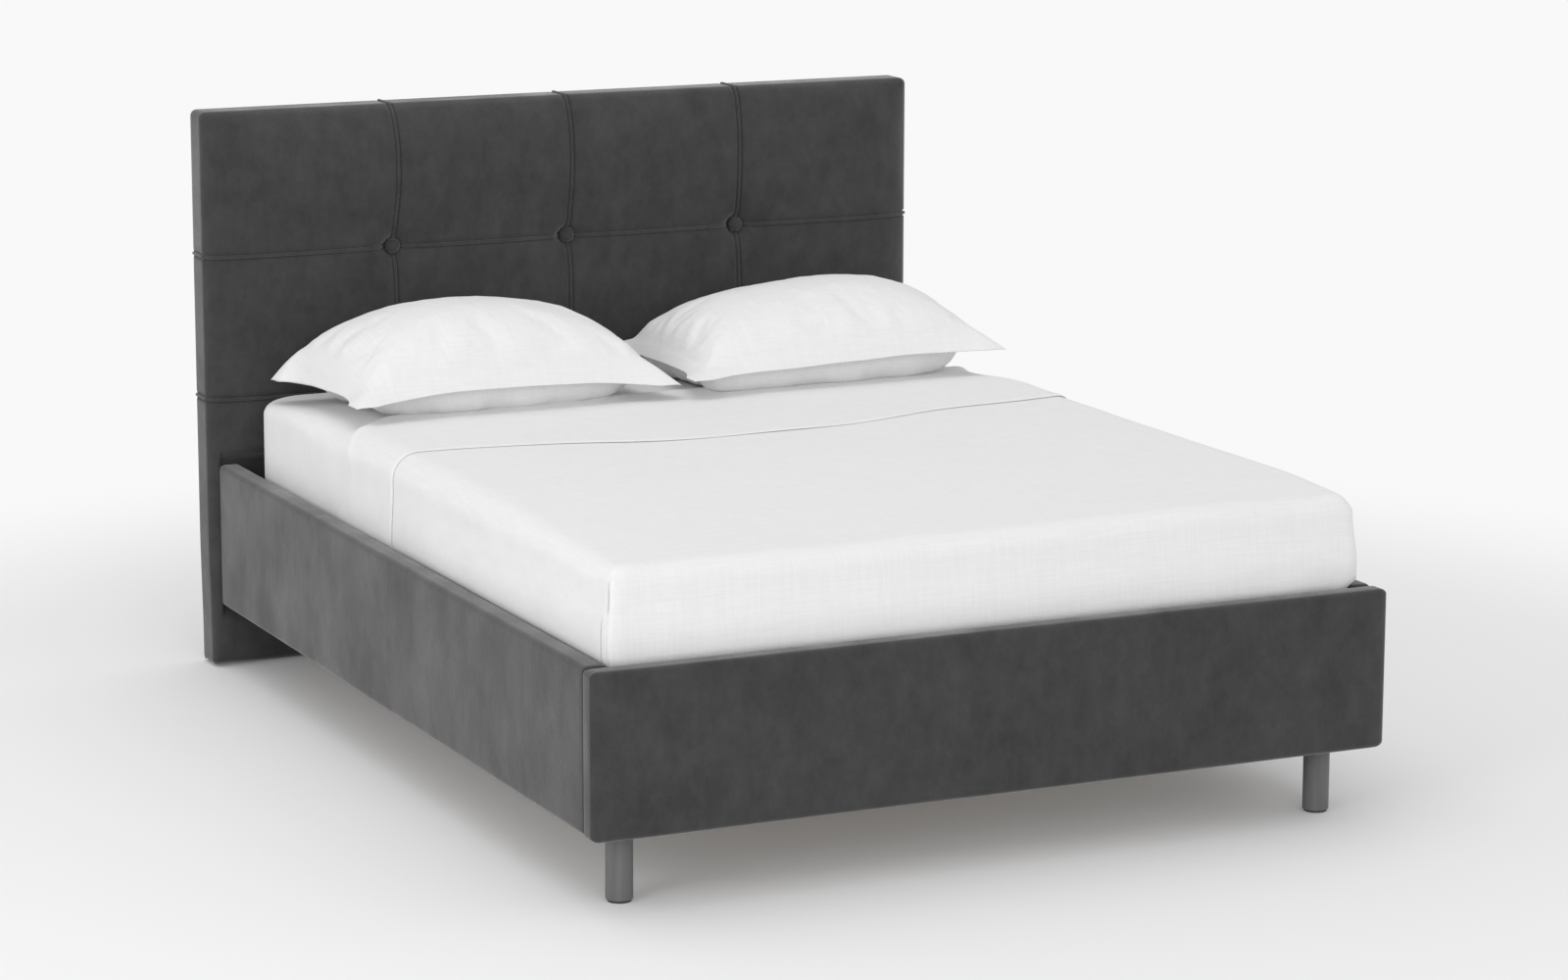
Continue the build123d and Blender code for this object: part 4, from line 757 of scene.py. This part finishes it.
MATTRESS_STEP, MATTRESS_DROP = 0.04, 0.03
MATTRESS_MIDDLE = (core_low.z + core_high.z) / 2
upper = whole_cover(MATTRESS_STEP, MATTRESS_MIDDLE, MATTRESS_STEP, MATTRESS_DROP, no_lift)
lower = []
for patch in upper:
    under = patch.copy()
    under[..., 2] = np.maximum(2 * MATTRESS_MIDDLE - under[..., 2], core_low.z)
    lower.append(under)
mattress = shown_piece(patch_mesh("mattress_body", upper + lower), ticking)
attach(mattress, "mattress")
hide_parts("mattress_core", "mattress_cover")

# Fitted sheet
# Plain white cotton with sewn corners and an elastic hem, stretched over the mattress.
# It shows under the pillows and along the sides at the head end.
linen, tree, shader = plain_finish("linen", (0.825, 0.825, 0.825), 0.9)
feed(shader, {"Specular IOR Level": 0.2, "Sheen Weight": 0.08, "Sheen Roughness": 0.5})
weft = {0: grain(tree, 260.0, (0.05, 1, 1)), 1: 0.5}
weft = node(tree, "ShaderNodeMath", weft, operation="MULTIPLY").outputs[0]
warp = {0: grain(tree, 260.0, (1, 0.05, 0.05)), 1: 0.5, 2: weft}
slubs = node(tree, "ShaderNodeMath", warp, operation="MULTIPLY_ADD").outputs[0]
feed(shader, {"Base Color": shade_between(tree, slubs, [0.8] * 3, [0.85] * 3, 0.35, 0.65)})
creases = relief(shader, grain(tree, 14.0, (1, 1, 1), 4.0), 0.0024)
relief(shader, grain(tree, 900.0, (1, 1, 1), 1.0), 0.0003, creases)
LINEN_BOTTOM, LINEN_T = 0.4, 0.0006
FITTED_STEP, FITTED_DROP, FITTED_ROWS, SHEET_WAVES = 0.03, 0.012, 0.02, 0.0009


def cloth_waves(flat_x, flat_y, scale, seed):
    """Smooth waves over flat cloth."""
    spread_x, spread_y = np.broadcast_arrays(flat_x, flat_y)
    places = np.stack((spread_x.ravel(), spread_y.ravel(), np.zeros(spread_x.size)), axis=-1)
    return soft_noise(places, scale, seed).reshape(np.shape(flat_x))


def fitted_lift(flat_x, flat_y):
    """The fitted sheet's small waves, only where the top sheet doesn't cover it."""
    free = smooth((flat_y - 0.56) / 0.12)
    return FITTED_LIFT + SHEET_WAVES * free * (1 + cloth_waves(flat_x, flat_y, 0.16, 21))


patches = whole_cover(FITTED_ROWS, LINEN_BOTTOM, FITTED_STEP, FITTED_DROP, fitted_lift)
fitted = cloth_piece("fitted_sheet_cloth", patches, 2, linen, LINEN_T)
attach(fitted, "mattress")
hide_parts("fitted_sheet")

# Top sheet
# A flat white sheet of the same cotton, tucked in at the foot and the sides, with folded corners at the foot.
# At the head it is turned back over itself, so its hem lies across the bed.
TOP_LIFT, TURNED_RISE, TURNED_WAVES = 0.0034, 0.0016, 0.0005
FOLD_PLACE, FOLD_RISE, FOLD_RUN = 0.505, 0.005, 0.018
HEM_PLACE, HEM_WIDTH, HEM_ROUND, HEM_FLAT, HEM_LOOSE = 0.055, 0.022, 0.007, 0.0006, 0.0008
SHEET_STEP, SHEET_DROP, SHEET_ROWS, TURNED_ROWS, HEM_ROWS = 0.015, 0.009, 96, 44, 14
PLEATS, PLEAT_REACH, PLEAT_TOP, PLEAT_MIDDLE = (0.755, 0.675), 0.22, 0.2, 0.262
PLEAT_DOUBLED, PLEAT_DEPTH, FOLD_SKEW, FOLD_DRAWN, HEM_SAG = 0.0035, 0.006, 0.02, 0.19, 0.053


def fold_line(flat_x):
    """Where the sheet is folded back, a little askew and drawn towards the foot at the left edge."""
    return FOLD_PLACE + FOLD_SKEW * flat_x / 0.75 - FOLD_DRAWN * np.exp(-(((flat_x + 0.80) / 0.13) ** 2))


def hem_line(flat_x):
    """Where the turned-back hem lies."""
    sag = HEM_SAG * np.exp(-(((flat_x - 0.01) / 0.36) ** 4))
    wave = 0.004 * np.sin(17 * flat_x + 0.6) + 0.008 * smooth((-flat_x - 0.78) / 0.15)
    return HEM_PLACE + 0.006 - sag + wave


def near_hem(flat_x):
    """A little inside the hem, where finer rows begin."""
    return hem_line(flat_x) + 0.03


def top_lift(flat_x, flat_y):
    """The top sheet's waves over the mattress."""
    return TOP_LIFT + SHEET_WAVES * (1 + cloth_waves(flat_x, flat_y, 0.30, 33))


def turned_lift(flat_x, flat_y):
    """The turned-back part lies on the sheet, doubled at the hem, which stands a little off it."""
    waves = cloth_waves(flat_x, flat_y, 0.14, 45)
    from_hem = np.clip(flat_y - hem_line(flat_x), 0, 1)
    loose = np.clip(0.55 + 0.45 * np.sin(11 * flat_x + 2 * np.sin(5 * flat_x)), 0, 1)
    hem = HEM_FLAT + HEM_LOOSE * loose * (1 - smooth((from_hem - HEM_WIDTH) / 0.004))
    to_fold = np.clip(fold_line(flat_x) - flat_y, 0, 1)
    on_top = 1 - smooth((np.abs(flat_x) - 0.72) / 0.1)
    full = TURNED_RISE + TURNED_WAVES * (1 + waves) + FOLD_RISE * on_top * np.exp(-to_fold / FOLD_RUN)
    return top_lift(flat_x, flat_y) + hem + full * smooth(from_hem / HEM_ROUND)


def pleat_lift(flat_x, flat_y):
    """The corner folds: doubled cloth with a narrow slot at each fold's edge, the second one lower down."""
    side_x = np.abs(flat_x) - CORE_X
    end_y = CORE_FOOT - flat_y
    angle = np.arctan2(end_y, np.maximum(side_x, 1e-6))
    out = np.hypot(np.maximum(side_x, 0), np.maximum(end_y, 0))
    shown, lower = smooth((out - PLEAT_TOP) / 0.015), smooth((out - PLEAT_MIDDLE) / 0.01)
    doubled = PLEAT_DOUBLED * (1 - smooth(PLEAT_REACH * np.abs(angle - sum(PLEATS) / 2) / 0.06))
    slots = [1 - smooth((PLEAT_REACH * np.abs(angle - pleat) - 0.001) / 0.0015) for pleat in PLEATS]
    depth = PLEAT_DEPTH * (slots[0] * (1 - 0.5 * lower) + slots[1] * lower)
    corner = (side_x > 0) & (end_y > 0)
    return top_lift(flat_x, flat_y) + np.where(corner, shown * (doubled - depth), 0)


PLEAT_HALF = (0.003, 0.006, 0.009, 0.012, 0.018, 0.03)
pleat_steps = np.array([-step for step in PLEAT_HALF[::-1]] + [0, *PLEAT_HALF])
pleat_angles = np.linspace(0, math.pi / 2, 30)
for pleat in PLEATS:
    pleat_angles = np.concatenate((pleat_angles[np.abs(pleat_angles - pleat) > 0.04], pleat + pleat_steps))
pleat_angles = np.sort(pleat_angles)


def share_rows(first, last, count):
    """Rows from one line across the bed to another."""
    return [
        lambda flat_x, part=part: first(flat_x) * (1 - part) + last(flat_x) * part
        for part in np.linspace(0, 1, count)
    ]


def foot_line(flat_x):
    """The straight row where the foot end begins."""
    return np.full_like(flat_x, CORE_FOOT)


sheeting = (LINEN_BOTTOM, SHEET_STEP, SHEET_DROP)
patches = end_patches(-1, *sheeting, pleat_lift, pleat_angles)
patches.append(length_patch(share_rows(foot_line, fold_line, SHEET_ROWS), *sheeting, top_lift))
core_x, way, run = crossing(*sheeting)
flat_x = core_x + way * run
fold_y = fold_line(flat_x)
fold_from, fold_to = top_lift(flat_x, fold_y), turned_lift(flat_x, fold_y)
fold_radius = (fold_to - fold_from) / 2
bend = []
for angle in np.linspace(0, math.pi, 9):
    lift = (fold_from + fold_to) / 2 - fold_radius * math.cos(angle)
    bend.append(laid(core_x, fold_y + 1.6 * fold_radius * math.sin(angle), way, 0, CORE_INSET, run, lift))
patches.append(np.stack(bend))
patches.append(length_patch(share_rows(fold_line, near_hem, TURNED_ROWS), *sheeting, turned_lift))
patches.append(length_patch(share_rows(near_hem, hem_line, HEM_ROWS), *sheeting, turned_lift))
top = cloth_piece("top_sheet_cloth", patches, 2, linen, LINEN_T)
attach(top, "mattress")
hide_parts("top_sheet")

# Hem stitches
# A row of short stitches holds the double hem of the turned-back edge, about 9 mm in from it.
STITCH_PITCH, STITCH_INSET, STITCH_FINE = 0.0095, 0.009, 0.003
STITCH_SIZE = (0.0028, 0.0006, 0.0005, 1)
shape = bmesh.new()
bmesh.ops.create_uvsphere(shape, u_segments=6, v_segments=4, radius=1.0, matrix=Matrix.Diagonal(STITCH_SIZE))
stitch_shape = small_shape(shape, "stitch_shape")
fine_x, fine_way, fine_run = crossing(LINEN_BOTTOM, STITCH_FINE, STITCH_FINE)
fine_flat = fine_x + fine_way * fine_run
stitch_y = hem_line(fine_flat) + STITCH_INSET
path = laid(fine_x, stitch_y, fine_way, 0, CORE_INSET, fine_run, turned_lift(fine_flat, stitch_y))
steps = np.linalg.norm(np.diff(path, axis=0), axis=1)
walked = np.concatenate(([0], np.cumsum(steps)))
stops = np.arange(STITCH_FINE, walked[-1], STITCH_PITCH)


def along_hem(stops):
    """Points of the hem after those distances along it."""
    return np.stack([np.interp(stops, walked, path[:, axis]) for axis in range(3)], axis=-1)


stitch_places = along_hem(stops)
ahead = along_hem(stops + 0.002) - stitch_places
stitch_turns = [Vector(heading).to_track_quat("X", "Z").to_euler() for heading in ahead]
# The stitches' grey is painted shade: it stands for the dark of their needle holes in the hem.
stitch_thread, tree, shader = plain_finish("stitch_thread", (0.4, 0.4, 0.4), 0.8)
relief(shader, grain(tree, 2500.0), 0.0002)
stitches = repeated("hem_stitches", stitch_places, stitch_turns, stitch_shape, stitch_thread)
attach(stitches, "mattress")

# Pillows
# Two fibre-filled pillows in white cotton cases. The filling swells the case, which wrinkles it near its
# corners; the case's sewn border droops outside the seam.
CASE_FLAT, CASE_STEP, CASE_PUFF = (0.66, 0.46), 0.0105, 0.012
SWELL_FRAMES = 34
CASE_COTTON = {"quality": 6, "mass": 0.12, "tension_stiffness": 40, "compression_stiffness": 25}
CASE_COTTON |= {"shear_stiffness": 12, "bending_stiffness": 0.35, "air_damping": 4.0}
CASE_COTTON |= {"use_pressure": True, "uniform_pressure_force": 3.2}
WRINKLES, WRINKLE_REACH = 0.6, 7
SEAM_SIZE, SEAM_DRAWN, SEAM_RISE, SEAM_SOFT, SEAM_DIP = (0.32, 0.22), 0.005, 0.012, 0.03, 0.002
BELLY_RUN, BELLY_CORNER, SOFT_FLOOR, FULLNESS, SIDE_RISE = 0.045, 40.0, 0.006, 0.57, 0.001
BORDER_MID, BORDER_CORNER, BORDER_T, BORDER_ROWS, BORDER_WAVES = 0.0245, 0.05, 0.0022, 5, 0.002
CASE_UNEVEN, SINK_RUN, SEAM_RUN = 0.0006, 0.08, 0.01
PILLOW_BASE = MATTRESS_TOP + 0.0035


def flat_case(name, seed):
    """The empty case: two layers sewn together along their edges, a little uneven, and their numbering."""
    columns, rows = (round(side / CASE_STEP) + 1 for side in CASE_FLAT)
    share_x, share_y = np.meshgrid(np.linspace(-0.5, 0.5, columns), np.linspace(-0.5, 0.5, rows))
    puff = CASE_PUFF * np.cos(math.pi * share_x) * np.cos(math.pi * share_y)
    flat_x, flat_y = share_x * CASE_FLAT[0], share_y * CASE_FLAT[1]
    layers = [np.stack((flat_x, flat_y, way * puff), axis=-1) for way in (1, -1)]
    above = np.arange(rows * columns).reshape(rows, columns)
    below = above.copy()
    below[1:-1, 1:-1] = rows * columns + np.arange((rows - 2) * (columns - 2)).reshape(rows - 2, columns - 2)
    points = np.concatenate((layers[0].reshape(-1, 3), layers[1][1:-1, 1:-1].reshape(-1, 3)))
    points += np.random.default_rng(seed).normal(0, CASE_UNEVEN, size=points.shape)
    mesh = bpy.data.meshes.new(name + "_flat")
    faces = np.concatenate((grid_quads(above)[:, ::-1], grid_quads(below)))
    mesh.from_pydata(points.tolist(), [], faces.tolist())
    return mesh, above, below


def swollen_points(mesh):
    """Lets the case swell as cloth with pressure inside it, and gives where its points end."""
    case = bpy.data.objects.new(mesh.name, mesh)
    scene.collection.objects.link(case)
    cloth = case.modifiers.new("cloth", "CLOTH")
    for setting, value in CASE_COTTON.items():
        setattr(cloth.settings, setting, value)
    cloth.settings.effector_weights.gravity = 0.0
    cloth.collision_settings.use_collision = False
    cloth.point_cache.frame_start = 1
    cloth.point_cache.frame_end = SWELL_FRAMES
    for count in range(1, SWELL_FRAMES + 1):
        scene.frame_set(count)
    swollen = case.evaluated_get(bpy.context.evaluated_depsgraph_get()).to_mesh()
    points = points_of(swollen)
    bpy.data.objects.remove(case)
    scene.frame_set(1)
    return points


def wrinkles_of(layer):
    """What is left of a layer without its large form, fading out at its edge."""
    weights = np.hanning(2 * WRINKLE_REACH + 3)[1:-1]
    weights /= weights.sum()
    large = layer
    for axis in (0, 1):
        spread = [(0, 0), (0, 0), (0, 0)]
        spread[axis] = (WRINKLE_REACH, WRINKLE_REACH)
        large = np.pad(large, spread, mode="reflect", reflect_type="odd")
        large = np.apply_along_axis(np.convolve, axis, large, weights, "valid")
    down, over = np.indices(layer.shape[:2])
    inside = np.min((down, layer.shape[0] - 1 - down, over, layer.shape[1] - 1 - over), axis=0)
    return WRINKLES * (layer - large) * smooth(inside / 3)[..., None]


def by_corner(values, u, v):
    """A value between those of the four corners, front left, front right, back left and back right."""
    front = values[0] * (1 - u) / 2 + values[1] * (1 + u) / 2
    back = values[2] * (1 - u) / 2 + values[3] * (1 + u) / 2
    return front * (1 - v) / 2 + back * (1 + v) / 2


def pillow(name, centre, turn, seed, crest, round_x, round_y, skew, seams, lips, lip_rise, steep, pull):
    """One filled case, set on the mattress: flat below, full above, with its border drooping all round."""
    mesh, above, below = flat_case(name, seed)
    points = swollen_points(mesh)
    bpy.data.meshes.remove(mesh)
    rows, columns = above.shape
    u, v = np.meshgrid(np.linspace(-1, 1, columns), np.linspace(-1, 1, rows))
    seam_x = u * (SEAM_SIZE[0] - SEAM_DRAWN * (1 - v**2))
    seam_y = v * (SEAM_SIZE[1] - SEAM_DRAWN * (1 - u**2))
    seam_z = by_corner(seams, u, v) + SEAM_RISE * (1 - (u * v) ** 2)
    dome = (1 - np.abs(u) ** round_x) * (1 - np.abs(v) ** round_y)
    least, most = SEAM_SOFT**FULLNESS, (1 + SEAM_SOFT) ** FULLNESS
    dome = ((dome + SEAM_SOFT) ** FULLNESS - least) / (most - least)
    dome = dome * (1 + skew * u * (1 - u**2))
    from_side = (1 - np.abs(u)) * SEAM_SIZE[0] * np.where(u < 0, *steep)
    from_end = (1 - np.abs(v)) * SEAM_SIZE[1]
    inside = -np.log(np.exp(-BELLY_CORNER * from_side) + np.exp(-BELLY_CORNER * from_end)) / BELLY_CORNER
    inside = np.clip(inside / BELLY_RUN, 0, 1) * smooth(np.minimum(from_side, from_end) / SEAM_RUN)
    belly = 1 - np.sqrt(1 - (1 - inside) ** 2)
    upper = np.stack((seam_x, seam_y, seam_z + (crest - seam_z) * dome), axis=-1) + wrinkles_of(points[above])
    lower = np.stack((seam_x, seam_y, seam_z * belly), axis=-1) + wrinkles_of(points[below])
    all_rows, all_columns = np.indices((rows + 2 * BORDER_ROWS, columns + 2 * BORDER_ROWS))
    near_row = np.clip(all_rows - BORDER_ROWS, 0, rows - 1)
    near_column = np.clip(all_columns - BORDER_ROWS, 0, columns - 1)
    out_x = (all_columns - BORDER_ROWS - near_column) / BORDER_ROWS
    out_y = (all_rows - BORDER_ROWS - near_row) / BORDER_ROWS
    near = (near_row, near_column)
    u, v, upper, lower = u[near], v[near], upper[near], lower[near]
    hang = np.maximum(np.abs(out_x), np.abs(out_y))
    lip = by_corner(lips, u, v) + lip_rise * (1 - u**2) + SIDE_RISE * (1 - v**2)
    flutter = BORDER_WAVES * soft_noise(upper.reshape(-1, 3), 0.16, seed).reshape(hang.shape)
    fallen = (lip - seam_z[near] + flutter) * hang
    drawn = ((1 - u) / 2 * (1 + v) / 2) ** 2
    lower[..., 2] -= BORDER_T * (hang < 1)
    upper[..., 2] -= SEAM_DIP * ((hang == 0) & ((np.abs(u) == 1) | (np.abs(v) == 1)))
    cosine, sine = math.cos(turn), math.sin(turn)
    for layer in (upper, lower):
        along = layer[..., 0] + out_x * (BORDER_MID + (BORDER_CORNER - BORDER_MID) * v**6) + drawn * pull[0]
        across = layer[..., 1] + out_y * (BORDER_MID + (BORDER_CORNER - BORDER_MID) * u**6) + drawn * pull[1]
        height = layer[..., 2] + fallen
        layer[..., 0] = centre[0] + cosine * along - sine * across
        layer[..., 1] = centre[1] + sine * along + cosine * across
        sunk = np.minimum(crown_height(layer[..., 0], layer[..., 1]), 0) * (1 - smooth(height / SINK_RUN))
        layer[..., 2] = PILLOW_BASE + sunk + 0.5 * (height + np.sqrt(height**2 + SOFT_FLOOR**2))
    piece = shown_piece(patch_mesh(name + "_cushion", [upper, lower]), linen)
    finer = piece.modifiers.new("finer", "SUBSURF")
    finer.levels = finer.render_levels = 1
    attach(piece, name)
    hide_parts(name + "_fill", name + "_case")


pillow(
    "pillow_left", centre=(-0.362, 0.662), turn=math.radians(3), seed=71, crest=0.2066,
    round_x=2.3, round_y=2.09, skew=-0.10, seams=(0.079, 0.081, 0.0997, 0.089),
    lips=(0.046, 0.035, 0.036, 0.057), lip_rise=0.014, steep=(0.36, 0.42), pull=(0.007, -0.048),
)
pillow(
    "pillow_right", centre=(0.402, 0.652), turn=0.0, seed=72, crest=0.198,
    round_x=3.0, round_y=1.8, skew=0.22, seams=(0.065, 0.1034, 0.065, 0.123),
    lips=(0.045, 0.062, 0.045, 0.045), lip_rise=0.001, steep=(0.8, 0.42), pull=(0.012, -0.014),
)
